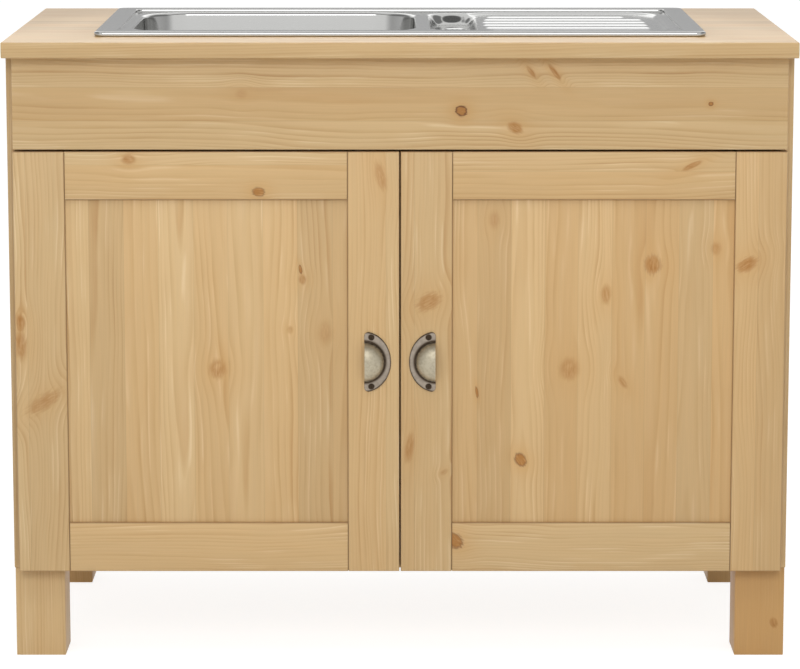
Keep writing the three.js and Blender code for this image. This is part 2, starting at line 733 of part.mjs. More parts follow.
// A cup pull turned on its side: its straight edge and mouth face the hinges, and its curved
// flange faces the other door. Built with the straight edge on X = 0 and the curve towards +X.
function makePull(side, sign) {
  const flangeShape = new THREE.Shape();
  const half = PULL_LENGTH / 2;
  const turn = Math.acos(PULL_CORNER / PULL_WIDTH); // where the curve meets a rounded end
  const shoulder = half * Math.sin(turn);
  flangeShape.moveTo(0, PULL_CORNER - half);
  flangeShape.quadraticCurveTo(0, -shoulder, PULL_CORNER, -shoulder);
  flangeShape.absellipse(0, 0, PULL_WIDTH, half, -turn, turn);
  flangeShape.quadraticCurveTo(0, shoulder, 0, half - PULL_CORNER);
  flangeShape.lineTo(0, PULL_CORNER - half);
  const flange = solid(prism(flangeShape, 0, PULL_FLANGE, 16));
  const dome = (shrink) => {
    const ball = new THREE.SphereGeometry(1, 24, 14);
    ball.scale(CUP_WIDTH - shrink, CUP_LENGTH / 2 - shrink, PULL_PROJECTION - shrink);
    return solid(ball.translate(CUP_SKIRT, 0, 0));
  };
  const far = PULL_LENGTH; // past the pull on every side
  const behindDoor = solid(boxBetween([-far, -far, -far], [far, far, 0]));
  const pastMouth = solid(boxBetween([-far, -far, -far], [CUP_SKIRT, far, far]));
  const mouth = solid(boxBetween(
    [-1, -CUP_LENGTH / 2 + PULL_WALL, -1],
    [CUP_SKIRT + 0.01, CUP_LENGTH / 2 - PULL_WALL, PULL_FLANGE + 1],
  ));
  let pull = dome(0).subtract(pastMouth).subtract(behindDoor).add(flange);
  pull = pull.subtract(dome(PULL_WALL)).subtract(mouth);
  for (const end of [-1, 1]) {
    const y = (end * PULL_SCREW_SPACING) / 2;
    const bore = PULL_SCREW_RADIUS + FIT;
    pull = pull.subtract(rod(PULL_SCREW_INSET, y, bore, -1, PULL_FLANGE + 1));
  }
  placeOnDoor(`${side}_pull`, toGeometry(pull), sign, FIT, 'antique');

  for (const [place, end] of [['lower', -1], ['upper', 1]]) {
    const head = PULL_SCREW_HEAD_RADIUS;
    const seat = PULL_FLANGE + FIT;
    const screw = turned([
      [0, seat + PULL_SCREW_HEAD_HEIGHT],
      [head * 0.6, seat + PULL_SCREW_HEAD_HEIGHT * 0.85],
      [head, seat + PULL_SCREW_HEAD_EDGE],
      [head, seat],
      [PULL_SCREW_RADIUS, seat],
      [PULL_SCREW_RADIUS, seat - PULL_FLANGE],
      [0, seat - PULL_FLANGE],
    ], PULL_SCREW_INSET, (end * PULL_SCREW_SPACING) / 2, 12);
    placeOnDoor(`${side}_pull_screw_${place}`, screw, sign, FIT, 'antique');
  }
}

// Puts a piece that is built flat, with its face up, on a door's front: as it is on the left door,
// and mirrored on the right one.
function placeOnDoor(name, geometry, sign, gap, finish) {
  geometry.rotateX(Math.PI / 2); // face up becomes face forward
  const straightEdge = doorInner + PULL_OFFSET + PULL_WIDTH;
  if (sign < 0) {
    geometry.translate(-straightEdge, 0, PULL_HEIGHT);
  } else {
    geometry.scale(-1, 1, 1);
    flipFaces(geometry);
    geometry.translate(straightEdge, 0, PULL_HEIGHT);
  }
  geometry.translate(0, doorFront - gap, 0);
  add(name, geometry, finish);
}

// Turns the faces round after a mirror.
function flipFaces(geometry) {
  if (geometry.index) {
    const index = geometry.index.array;
    for (let i = 0; i < index.length; i += 3) {
      [index[i], index[i + 1]] = [index[i + 1], index[i]];
    }
    return;
  }
  const position = geometry.attributes.position;
  for (let i = 0; i < position.count; i += 3) {
    for (let axis = 0; axis < 3; axis += 1) {
      const first = position.getComponent(i, axis);
      position.setComponent(i, axis, position.getComponent(i + 1, axis));
      position.setComponent(i + 1, axis, first);
    }
  }
}

// ---------------------------------------------------------------- sink

const rimTop = TOP_HEIGHT + RIM_HEIGHT;
const deckTop = rimTop - DECK_STEP;
const deckUnder = deckTop - SHEET;
const skirtBottom = TOP_HEIGHT + FIT;
const sinkLeft = -SINK_WIDTH / 2;
const sinkRight = SINK_WIDTH / 2;
const bowlX = sinkLeft + BOWL_LEFT + BOWL_WIDTH / 2;
const bowlY = sinkFront + BOWL_FRONT + BOWL_DEPTH / 2;
const bowlFloor = deckTop - BOWL_HEIGHT;
const dishLeft = sinkLeft + BOWL_LEFT + BOWL_WIDTH + DISH_GAP;
const dishX = dishLeft + DISH_WIDTH / 2;
const dishY = bowlY;
const trayLeft = dishLeft + DISH_WIDTH - TRAY_INTO_DISH;
const trayRight = sinkRight - TRAY_RIGHT_MARGIN;
const trayFront = sinkFront + TRAY_MARGIN_FRONT;
const trayRear = sinkRear - TRAY_MARGIN_REAR;
const trayTop = deckTop - TRAY_DEPTH;

// An outline that is a rectangle with round corners, grown outwards by a distance.
function grown({ width, depth, radius, x, y }, by) {
  return {
    width: width + 2 * by,
    depth: depth + 2 * by,
    radius: Math.max(radius + by, 3),
    x,
    y,
  };
}

const sinkOutline = {
  width: SINK_WIDTH,
  depth: SINK_DEPTH,
  radius: SINK_RADIUS,
  x: 0,
  y: sinkY,
};
const deckOutline = { ...grown(sinkOutline, -RIM_WIDTH), radius: DECK_RADIUS };
const trayOutline = {
  width: trayRight - trayLeft,
  depth: trayRear - trayFront,
  radius: TRAY_RADIUS,
  x: (trayLeft + trayRight) / 2,
  y: (trayFront + trayRear) / 2,
};
const dishOutline = {
  width: DISH_WIDTH,
  depth: DISH_LENGTH,
  radius: DISH_WIDTH / 2 - 1,
  x: dishX,
  y: dishY,
};
const bowlOutline = {
  width: BOWL_WIDTH,
  depth: BOWL_DEPTH,
  radius: BOWL_RADIUS,
  x: bowlX,
  y: bowlY,
};

// An upright prism of a rectangle with round corners, grown outwards by a distance.
function plate(outline, by, low, high, curveSegments = 6) {
  return solid(prism(roundedRectangle(grown(outline, by)), low, high, curveSegments));
}

function makeSinkTop() {
  let sheet = plate(sinkOutline, 0, skirtBottom, rimTop);
  // the step down to the deck, and the hollow under the rim and the deck
  sheet = sheet.subtract(plate(deckOutline, 0, deckTop, rimTop + 1));
  const hollow = plate(sinkOutline, -SHEET, skirtBottom - 1, rimTop - SHEET)
    .subtract(plate(deckOutline, SHEET, deckUnder, rimTop));
  sheet = sheet.subtract(hollow);
  // drainer tray and small dish
  const dishFloor = deckTop - DISH_HEIGHT;
  const dishOuter = { lean: DISH_LEAN, floorRadius: DISH_FLOOR_RADIUS + SHEET };
  const dishInner = { lean: DISH_LEAN, floorRadius: DISH_FLOOR_RADIUS };
  sheet = sheet
    .add(plate(trayOutline, SHEET, trayTop - SHEET, deckUnder + SHEET / 2))
    .add(basin(grown(dishOutline, SHEET), dishFloor - SHEET, deckUnder + SHEET / 2, dishOuter))
    .subtract(plate(trayOutline, 0, trayTop, deckTop + 1));
  const ribLength = trayOutline.width - RIB_LEFT - RIB_RIGHT;
  for (let rib = 0; rib < RIB_COUNT; rib += 1) {
    const ribOutline = {
      width: ribLength,
      depth: RIB_WIDTH,
      radius: RIB_WIDTH / 2 - 1,
      x: trayLeft + RIB_LEFT + ribLength / 2,
      y: trayOutline.y + (rib - (RIB_COUNT - 1) / 2) * RIB_PITCH,
    };
    sheet = sheet.add(plate(ribOutline, 0, trayTop - SHEET / 2, trayTop + RIB_HEIGHT, 3));
  }
  const drain = [dishX + DISH_WASTE_X, dishY + DISH_WASTE_Y];
  sheet = sheet
    .subtract(basin(dishOutline, dishFloor, deckTop, dishInner))
    .subtract(plate(bowlOutline, 0, deckUnder - 1, deckTop + 1))
    .subtract(rod(...drain, DISH_WASTE_BORE, dishFloor - 2 * SHEET, dishFloor + 2 * SHEET, 16));
  add('sink_top', toGeometry(sheet), 'steel');
}

function makeSinkBowl() {
  const outer = { lean: BOWL_LEAN, floorRadius: BOWL_FLOOR_RADIUS + SHEET, floorSteps: 4 };
  const inner = { lean: BOWL_LEAN, floorRadius: BOWL_FLOOR_RADIUS, floorSteps: 4 };
  const top = deckUnder - FIT;
  let bowl = basin(grown(bowlOutline, SHEET), bowlFloor - SHEET, top, outer);
  bowl = bowl
    .subtract(basin(bowlOutline, bowlFloor, top, inner))
    .subtract(rod(bowlX, bowlY, WASTE_HOLE_RADIUS, bowlFloor - 2 * SHEET, bowlFloor + SHEET, 24));
  add('sink_bowl', toGeometry(bowl), 'steel');
}

function makeSinkFixings() {
  const seal = plate(sinkOutline, -SEAL_INSET, skirtBottom, rimTop - SHEET - FIT)
    .subtract(plate(sinkOutline, -SEAL_INSET - SEAL_WIDTH, skirtBottom - 1, rimTop));
  add('sink_seal', toGeometry(seal), 'seal');

  // each clamp hangs beside the cut-out's edge and hooks under the worktop
  const rows = [
    { row: 'front', edge: sinkFront + CUTOUT_MARGIN, inwards: 1 },
    { row: 'rear', edge: sinkRear - CUTOUT_MARGIN, inwards: -1 },
  ];
  const stemTop = TOP_HEIGHT - 2;
  const hookTop = topUnderside - FIT;
  for (const { row, edge, inwards } of rows) {
    const near = edge + inwards * FIT;
    const outline = [
      [near, stemTop],
      [near, hookTop],
      [near - inwards * CLAMP_REACH, hookTop],
      [near - inwards * CLAMP_REACH, hookTop - CLAMP_HOOK],
      [near - inwards * (CLAMP_REACH - CLAMP_THICKNESS), hookTop - CLAMP_HOOK],
      [near - inwards * (CLAMP_REACH - CLAMP_THICKNESS), hookTop - CLAMP_THICKNESS],
      [near + inwards * CLAMP_THICKNESS, hookTop - CLAMP_THICKNESS],
      [near + inwards * CLAMP_THICKNESS, stemTop],
    ];
    const profile = new THREE.Shape(outline.map(([y, z]) => new THREE.Vector2(y, z)));
    for (const { side, sign } of SIDES) {
      const clamp = new THREE.ExtrudeGeometry(profile, { depth: CLAMP_WIDTH, bevelEnabled: false });
      // the profile's X becomes Y, its Y becomes Z, and the depth runs along X
      clamp.applyMatrix4(new THREE.Matrix4().set(
        0, 0, 1, 0,
        1, 0, 0, 0,
        0, 1, 0, 0,
        0, 0, 0, 1,
      ));
      clamp.translate(sign * CLAMP_X - CLAMP_WIDTH / 2, 0, 0);
      add(`sink_clamp_${row}_${side}`, clamp, 'zinc');
    }
  }
}

// ---------------------------------------------------------------- waste, overflow and trap

const trapTop = bowlFloor - TRAP_DROP;
const outletZ = trapTop - OUTLET_DROP;
const flangeTop = bowlFloor + FIT + WASTE_WALL;
const flangeTube = WASTE_HOLE_RADIUS - WASTE_PLAY; // outer radius of the flange's short tube
const basketRadius = flangeTube - WASTE_WALL - WASTE_PLAY;

function makeWaste() {
  // upper flange: a ring on the bowl's floor with a short tube through its hole
  const inner = flangeTube - WASTE_WALL;
  add('waste_flange', turned([
    [inner, bowlFloor - FLANGE_TUBE],
    [flangeTube, bowlFloor - FLANGE_TUBE],
    [flangeTube, bowlFloor + FIT],
    [WASTE_FLANGE_RADIUS, bowlFloor + FIT],
    [WASTE_FLANGE_RADIUS - 1, flangeTop],
    [inner, flangeTop],
    [inner, bowlFloor - FLANGE_TUBE],
  ], bowlX, bowlY), 'steel');

  // lift-out basket: a tapered cup with a knob, its rim on the flange
  const seat = flangeTop + FIT;
  const rim = basketRadius + BASKET_RIM;
  const foot = basketRadius - BASKET_TAPER;
  const floor = seat - BASKET_DEPTH;
  add('strainer_basket', turned([
    [0, floor],
    [foot, floor],
    [basketRadius, seat],
    [rim, seat],
    [rim, seat + BASKET_WALL],
    [basketRadius - BASKET_WALL, seat + BASKET_WALL],
    [foot - BASKET_WALL, floor + BASKET_WALL],
    [KNOB_STEM_RADIUS, floor + BASKET_WALL],
    [KNOB_STEM_RADIUS, seat - KNOB_HEIGHT],
    [KNOB_RADIUS, seat - KNOB_HEIGHT / 2],
    [KNOB_RADIUS, seat],
    [0, seat + 1],
  ], bowlX, bowlY), 'steel');

  // waste body: a deep cup under the bowl with the tail pipe below it
  const bodyTop = bowlFloor - SHEET - FIT;
  const cupFoot = bodyTop - WASTE_CUP_DEPTH;
  const bore = WASTE_HOLE_RADIUS + WASTE_PLAY;
  const wall = PIPE_WALL;
  add('waste_body', turned([
    [bore, bodyTop],
    [WASTE_BODY_RADIUS, bodyTop],
    [WASTE_BODY_RADIUS, bodyTop - WASTE_BODY_COLLAR],
    [bore + wall, bodyTop - WASTE_BODY_COLLAR],
    [bore + wall, cupFoot],
    [TAIL_RADIUS, cupFoot - WASTE_CONE],
    [TAIL_RADIUS, trapTop + FIT],
    [TAIL_RADIUS - wall, trapTop + FIT],
    [TAIL_RADIUS - wall, cupFoot - WASTE_CONE + wall],
    [bore, cupFoot + wall],
    [bore, bodyTop],
  ], bowlX, bowlY), 'white_plastic');
}

function makeOverflow() {
  const x = dishX + DISH_WASTE_X;
  const y = dishY + DISH_WASTE_Y;
  const under = deckTop - DISH_HEIGHT - SHEET - FIT;
  const low = under - DISH_WASTE_HEIGHT;
  const collar = DISH_WASTE_RADIUS + DISH_WASTE_COLLAR_REACH;
  add('dish_waste', turned([
    [0, low],
    [DISH_WASTE_RADIUS, low],
    [DISH_WASTE_RADIUS, under - DISH_WASTE_COLLAR],
    [collar, under - DISH_WASTE_COLLAR],
    [collar, under],
    [0, under],
  ], x, y), 'white_plastic');

  // the tube drops from the dish's waste and bends back to the waste body's side
  const bodyZ = bowlFloor - WASTE_CUP_DEPTH / 2;
  const curve = new THREE.CurvePath();
  const start = new THREE.Vector3(x, y, low - FIT);
  const corner = new THREE.Vector3(x, y, bodyZ);
  const target = new THREE.Vector3(bowlX, bowlY, bodyZ);
  const along = target.clone().sub(corner).normalize();
  const bendStart = corner.clone().add(new THREE.Vector3(0, 0, TUBE_BEND));
  const bendEnd = corner.clone().addScaledVector(along, TUBE_BEND);
  const reach = WASTE_HOLE_RADIUS + WASTE_PLAY + PIPE_WALL + TUBE_GAP;
  const end = target.clone().addScaledVector(along, -reach);
  curve.add(new THREE.LineCurve3(start, bendStart));
  curve.add(new THREE.QuadraticBezierCurve3(bendStart, corner, bendEnd));
  curve.add(new THREE.LineCurve3(bendEnd, end));
  add('overflow_tube', barAlong(curve, TUBE_RADIUS, TUBE_BEND_STEPS, 5), 'white_plastic');
}

function makeTrap() {
  const bottom = trapTop - TRAP_HEIGHT;
  const nut = TRAP_RADIUS + TRAP_NUT_REACH;
  const nutTop = trapTop - TRAP_NUT_TOP;
  add('trap_bottle', turned([
    [0, bottom],
    [TRAP_RADIUS - TRAP_FOOT, bottom],
    [TRAP_RADIUS, bottom + TRAP_FOOT_HEIGHT],
    [TRAP_RADIUS, nutTop - TRAP_NUT_HEIGHT],
    [nut, nutTop - TRAP_NUT_HEIGHT],
    [nut, nutTop],
    [TAIL_RADIUS + TRAP_NECK, trapTop],
    [0, trapTop],
  ], bowlX, bowlY), 'white_plastic');

  const start = bowlY + TRAP_RADIUS + OUTLET_GAP;
  const end = sideRear + OUTLET_REACH;
  const pipe = new THREE.CylinderGeometry(OUTLET_RADIUS, OUTLET_RADIUS, end - start, 20);
  pipe.translate(bowlX, (start + end) / 2, outletZ);
  add('trap_outlet_pipe', pipe, 'white_plastic');
}

// ---------------------------------------------------------------- assembly

makeWorktop();
makeSidePanels();
makeInnerBoards();
makeBackPanel();
makeLegs();
makeApron();
for (const { side, sign } of SIDES) {
  makeDoor(side, sign);
  makePull(side, sign);
  makeHinges(side, sign);
}
makeSinkTop();
makeSinkBowl();
makeSinkFixings();
makeWaste();
makeOverflow();
makeTrap();

export default cabinet;
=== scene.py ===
"""Sink base cabinet: its boards, pressed steel sink, aged pulls, hinges and pipes, with their
finishes, built around the packed construction in a plain studio."""
import math
from collections import Counter, namedtuple

import bpy
from bpy.props import FloatProperty, FloatVectorProperty, PointerProperty
from mathutils import Matrix, Vector


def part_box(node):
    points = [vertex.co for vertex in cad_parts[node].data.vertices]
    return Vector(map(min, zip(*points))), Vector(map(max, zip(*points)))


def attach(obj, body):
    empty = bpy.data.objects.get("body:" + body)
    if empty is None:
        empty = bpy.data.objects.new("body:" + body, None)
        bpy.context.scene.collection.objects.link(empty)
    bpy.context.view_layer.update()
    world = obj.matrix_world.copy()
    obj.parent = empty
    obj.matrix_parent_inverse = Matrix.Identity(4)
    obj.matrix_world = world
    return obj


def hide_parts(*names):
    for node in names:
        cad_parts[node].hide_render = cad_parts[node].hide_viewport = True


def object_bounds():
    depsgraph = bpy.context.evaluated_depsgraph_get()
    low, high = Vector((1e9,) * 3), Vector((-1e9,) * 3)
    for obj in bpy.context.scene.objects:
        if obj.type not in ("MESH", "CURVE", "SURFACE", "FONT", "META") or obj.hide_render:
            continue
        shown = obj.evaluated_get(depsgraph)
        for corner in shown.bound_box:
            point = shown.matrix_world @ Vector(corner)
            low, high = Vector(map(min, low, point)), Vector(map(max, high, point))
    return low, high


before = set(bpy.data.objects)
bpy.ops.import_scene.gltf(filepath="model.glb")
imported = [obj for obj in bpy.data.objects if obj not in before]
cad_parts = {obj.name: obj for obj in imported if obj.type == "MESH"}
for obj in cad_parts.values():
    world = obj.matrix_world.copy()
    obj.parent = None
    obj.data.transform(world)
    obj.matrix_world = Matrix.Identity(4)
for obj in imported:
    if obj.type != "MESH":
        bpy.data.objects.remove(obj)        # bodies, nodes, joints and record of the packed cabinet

bl_info = {
    "name": "Pine sink base cabinet",
    "version": (1, 0, 0),
    "blender": (4, 5, 0),
    "location": "3D View > Sidebar > Cabinet",
    "description": "Builds the boards, sink, pulls and pipes of a pine sink base cabinet",
    "category": "Object",
}

MM = 0.001
cad_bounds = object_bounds()


def linear(code):
    """An sRGB hex colour as linear red, green, blue and alpha."""
    channels = [int(code[i:i + 2], 16) / 255 for i in (1, 3, 5)]
    bent = [c / 12.92 if c <= 0.04045 else ((c + 0.055) / 1.055) ** 2.4 for c in channels]
    return (*bent, 1.0)


def length(name, description, millimetres):
    """A length that a user may change, given in millimetres."""
    return FloatProperty(
        name=name,
        description=description,
        default=millimetres * MM,
        min=0.0,
        unit="LENGTH",
        precision=4,
    )


def colour(name, description, code):
    """A colour that a user may change, given as sRGB hex."""
    return FloatVectorProperty(
        name=name,
        description=description,
        default=linear(code),
        size=4,
        min=0.0,
        max=1.0,
        subtype="COLOR",
    )


# ---------------------------------------------------------------- what a user may change

class CabinetWood(bpy.types.PropertyGroup):
    """Sizes and colours of the pine."""
    ease: length("Eased edge", "Rounding along every board's edges", 0.9)
    top_ease: length("Worktop edge", "Rounding along the worktop's edges", 1.6)
    ring: length("Ring spacing", "Growth rings of a slow pine", 4.2)
    pale: colour("Early wood", "Pale oiled pine between the rings", "#d8ba8a")
    deep: colour("Late wood", "Narrow darker line of each ring", "#b98d58")
    # painted glint: this pale colour marks some ring edges as though the grain caught the light
    # there; the real pale sapwood takes it too
    sapwood_and_painted_glint: colour("Glint", "Pale line where the grain turns to the light", "#ead2a8")
    knot: colour("Knot", "Red-brown wood of a knot", "#ae783a")
    # this dark colour is the knot's real rim, and also paints the shade along the doors' joints
    knot_rim_and_joint_shade: colour("Knot's rim", "Dark resin and bark around a dead knot", "#6a4020")
    amber: colour("Amber", "Warm tint of some staves and round the knots", "#cc9e62")


class CabinetSink(bpy.types.PropertyGroup):
    """Sizes and colour of the pressed sink."""
    sheet: length("Sheet", "Thickness of the steel", 1.0)
    rim: length("Rim width", "Flat rim round the deck", 29.0)
    edge_roll: length("Edge roll", "Rounding of the rim's outer edge", 3.0)
    step_roll: length("Step roll", "Rounding of the step down to the deck", 1.9)
    bowl_roll: length("Bowl roll", "Rounding where the deck turns into the bowl", 5.0)
    floor_roll: length("Floor roll", "Rounding round the bowl's floor", 28.0)
    rib_height: length("Rib height", "Drainer ribs above the tray", 1.3)
    rib_reach: length("Rib half width", "Middle of a rib to its foot", 14.0)
    steel: colour("Steel", "Fine satin stainless steel", "#c5c5c3")


class CabinetPulls(bpy.types.PropertyGroup):
    """Sizes and colours of the cup pulls."""
    flange: length("Flange", "Thickness of the flange", 1.8)
    wall: length("Wall", "Thickness of the cup's wall", 1.8)
    pewter: colour("Rubbed metal", "Burnished high places", "#b4ab96")
    shade: colour("Worn metal", "Grey flange, handled less than the cup", "#9c9184")
    patina: colour("Patina", "Dark brown left in the recesses", "#3a2b1c")


class CabinetStage(bpy.types.PropertyGroup):
    """Camera, light and floor."""
    lens: FloatProperty(
        name="Lens", description="Focal length", default=152.2 * MM, unit="CAMERA", min=0.01)
    tilt: FloatProperty(
        name="Tilt",
        description="Camera's tilt below the horizon",
        default=math.radians(8.936),
        subtype="ANGLE",
    )
    shift: FloatProperty(name="Shift", description="Camera's upward shift", default=-0.08)
    distance: length("Distance", "Camera to the cabinet's front edge", 4644.3)
    height: length("Camera height", "Camera above the floor", 1292.9)
    fill: FloatProperty(name="Fill", description="Strength of the light all round", default=0.45)
    overhead: FloatProperty(
        name="Overhead", description="Softbox over the cabinet", default=38.0, unit="POWER")
    front: FloatProperty(
        name="Front", description="Softbox before the cabinet", default=101.0, unit="POWER")
    lift: FloatProperty(
        name="Lift", description="How far the floor is lifted to white", default=0.84)
    floor: colour("Floor", "Pale studio floor", "#f2f2f0")
    seen_floor: colour("Seen floor", "Floor's colour under the lift to white", "#a8a8a7")


GROUPS = {
    "cabinet_wood": CabinetWood,
    "cabinet_sink": CabinetSink,
    "cabinet_pulls": CabinetPulls,
    "cabinet_stage": CabinetStage,
}


# ---------------------------------------------------------------- modelling

def deselect():
    bpy.ops.object.select_all(action="DESELECT")


def take(piece):
    """Makes one piece the only one selected."""
    deselect()
    bpy.context.view_layer.objects.active = piece
    piece.select_set(True)


def edit(piece, kind="VERT"):
    """Opens one piece in edit mode, selecting vertices, edges or faces."""
    take(piece)
    bpy.context.tool_settings.mesh_select_mode = [kind == k for k in ("VERT", "EDGE", "FACE")]
    bpy.ops.object.mode_set(mode="EDIT")


def leave():
    bpy.ops.object.mode_set(mode="OBJECT")


def begin(name, size=(1, 1, 1)):
    """Names the primitive just added, and puts its size and place into its mesh."""
    piece = bpy.context.active_object
    piece.name = name
    piece.data.name = name
    piece.scale = size
    bpy.ops.object.transform_apply(location=True, rotation=True, scale=True)
    return piece


def middle_of(low, high):
    return [(a + b) / 2 for a, b in zip(low, high)]


def block(name, low, high, ease, rounds=2):
    """A board between two corners, its edges eased."""
    deselect()
    bpy.ops.mesh.primitive_cube_add(size=1, location=middle_of(low, high))
    board = begin(name, [b - a for a, b in zip(low, high)])
    if ease:
        edit(board, "EDGE")
        bpy.ops.mesh.select_all(action="SELECT")
        bpy.ops.mesh.bevel(offset=ease, segments=rounds, profile=0.5, affect="EDGES")
        leave()
    return board


def clear_selection(mesh):
    for part in (mesh.vertices, mesh.edges, mesh.polygons):
        part.foreach_set("select", [False] * len(part))


def open_faces(piece, test):
    """Opens a piece in edit mode with the faces selected whose middle and normal pass a test."""
    clear_selection(piece.data)
    chosen = 0
    for face in piece.data.polygons:
        face.select = bool(test(face.center, face.normal))
        chosen += face.select
    if not chosen:
        raise RuntimeError(f"no face of {piece.name} is where it is looked for")
    edit(piece, "FACE")


def open_rims(piece, height, reach=0.2 * MM):
    """Opens a sheet in edit mode with its open edges at one height selected."""
    mesh = piece.data
    clear_selection(mesh)
    uses = Counter(key for face in mesh.polygons for key in face.edge_keys)
    for edge in mesh.edges:
        level = all(abs(mesh.vertices[v].co.z - height) < reach for v in edge.vertices)
        edge.select = level and uses[edge.key] < 2
    edit(piece, "EDGE")


def apply_modifier(piece, kind, **settings):
    """Adds a modifier with its settings and applies it."""
    take(piece)
    modifier = piece.modifiers.new(kind.lower(), kind)
    for name, value in settings.items():
        setattr(modifier, name, value)
    bpy.ops.object.modifier_apply(modifier=modifier.name)


def combine(piece, tool, operation="DIFFERENCE"):
    """Cuts a tool out of a piece, or joins it on, and throws the tool away."""
    apply_modifier(piece, "BOOLEAN", operation=operation, object=tool, solver="EXACT")
    bpy.data.objects.remove(tool)
    if not piece.data.polygons:
        raise RuntimeError(f"nothing is left of {piece.name}")


def join(name, pieces):
    """Joins pieces into one mesh."""
    deselect()
    for piece in pieces:
        piece.select_set(True)
    bpy.context.view_layer.objects.active = pieces[0]
    bpy.ops.object.join()
    pieces[0].name = name
    pieces[0].data.name = name
    return pieces[0]


def soften(piece, width, rounds=2, angle=40):
    """Rounds a piece's sharp edges."""
    apply_modifier(
        piece, "BEVEL", width=width, segments=rounds, limit_method="ANGLE",
        angle_limit=math.radians(angle), use_clamp_overlap=True,
    )


def smooth(piece, angle=35):
    take(piece)
    bpy.ops.object.shade_smooth_by_angle(angle=math.radians(angle))


def copy_of(piece, name, place):
    """A copy with its own mesh, moved or mirrored by a matrix."""
    twin = piece.copy()
    twin.data = piece.data.copy()
    twin.name = name
    twin.data.name = name
    twin.data.transform(place)
    if place.determinant() < 0:
        twin.data.flip_normals()
    bpy.context.scene.collection.objects.link(twin)
    return twin


AXES = {"Z": Vector((0, 0, 1)), "Y": Vector((0, 1, 0))}


def turned(name, base, profile, axis="Z", segments=64):
    """A turned piece: a ring drawn out along a profile of (radius, place along the axis). It is
    capped at both ends, unless the profile comes back to where it began."""
    along = AXES[axis]
    hollow = profile[0] == profile[-1]
    radius, place = profile[0]
    deselect()
    bpy.ops.mesh.primitive_circle_add(
        vertices=segments,
        radius=radius,
        fill_type="NOTHING" if hollow else "NGON",
        location=Vector(base) + along * place,
        rotation=(0, 0, 0) if axis == "Z" else (math.pi / 2, 0, 0),
    )
    piece = begin(name)
    edit(piece, "EDGE")
    bpy.ops.mesh.select_all(action="SELECT")
    for next_radius, next_place in profile[1:]:
        step = along * (next_place - place)
        bpy.ops.mesh.extrude_edges_move(TRANSFORM_OT_translate={"value": step})
        ratio = next_radius / radius
        bpy.ops.transform.resize(
            value=[1 if a else ratio for a in along],
            center_override=Vector(base) + along * next_place,
        )
        radius, place = next_radius, next_place
    if not hollow:
        bpy.ops.mesh.edge_face_add()
    bpy.ops.mesh.select_all(action="SELECT")
    bpy.ops.mesh.remove_doubles(threshold=0.01 * MM)
    bpy.ops.mesh.normals_make_consistent(inside=False)
    leave()
    return piece


def settle(piece, body, slot, material, *nodes):
    """Gives a finished piece its material, its body and the nodes it stands for."""
    piece.data.materials.clear()
    piece.data.materials.append(material)
    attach(piece, body)
    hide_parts(*nodes)


def finish_node(name, material):
    """Gives a construction node that stays a better material."""
    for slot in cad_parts[name].material_slots:
        slot.material = material


# ---------------------------------------------------------------- material nodes

MATH = "ShaderNodeMath"
VECTOR_MATH = "ShaderNodeVectorMath"
COMBINE = "ShaderNodeCombineXYZ"
SEPARATE = "ShaderNodeSeparateXYZ"
NOISE = "ShaderNodeTexNoise"
CHANCE = "ShaderNodeTexWhiteNoise"
MAP_RANGE = "ShaderNodeMapRange"
RAMP = "ShaderNodeValToRGB"
MIX = "ShaderNodeMix"
MIX_A, MIX_B, MIX_RESULT = 6, 7, 2  # a Mix node's colour sockets
BUMP = "ShaderNodeBump"
COORDINATES = "ShaderNodeTexCoord"
PRINCIPLED = "ShaderNodeBsdfPrincipled"
OUTPUT = "ShaderNodeOutputMaterial"


def add_node(tree, kind, inputs=(), out=0, stops=(), **settings):
    """Adds a node with its settings, the values or links of its inputs, and a ramp's stops.
    Returns one of its outputs, or all of them where out is None."""
    node = tree.nodes.new(kind)
    for name, value in settings.items():
        setattr(node, name, value)
    for key, value in inputs.items() if isinstance(inputs, dict) else enumerate(inputs):
        if isinstance(value, bpy.types.NodeSocket):
            tree.links.new(value, node.inputs[key])
        else:
            node.inputs[key].default_value = value
    for number, (place, code) in enumerate(stops):
        ramp = node.color_ramp.elements
        stop = ramp[number] if number < 2 else ramp.new(place)
        stop.position = place
        stop.color = linear(code) if isinstance(code, str) else (code, code, code, 1)
    return node.outputs if out is None else node.outputs[out]


def new_group(name, inputs, outputs):
    """An empty node group with float sockets. Returns it with what is given to it."""
    group = bpy.data.node_groups.new(name, "ShaderNodeTree")
    for socket in inputs:
        group.interface.new_socket(socket, in_out="INPUT", socket_type="NodeSocketFloat")
    for socket in outputs:
        group.interface.new_socket(socket, in_out="OUTPUT", socket_type="NodeSocketFloat")
    return group, add_node(group, "NodeGroupInput", out=None)


def new_material(name):
    """An empty node material. Returns it with its tree."""
    material = bpy.data.materials.new(name)
    material.use_nodes = True
    material.node_tree.nodes.clear()
    return material, material.node_tree


# ---------------------------------------------------------------- pine

KNOT_MASKS = ["Shift", "Heart", "Rim", "Halo"]
KNOT_FIBRE_LENGTH, KNOT_FIBRE_WIDTH = 12, 2.6  # millimetres, coarser than real so that they show


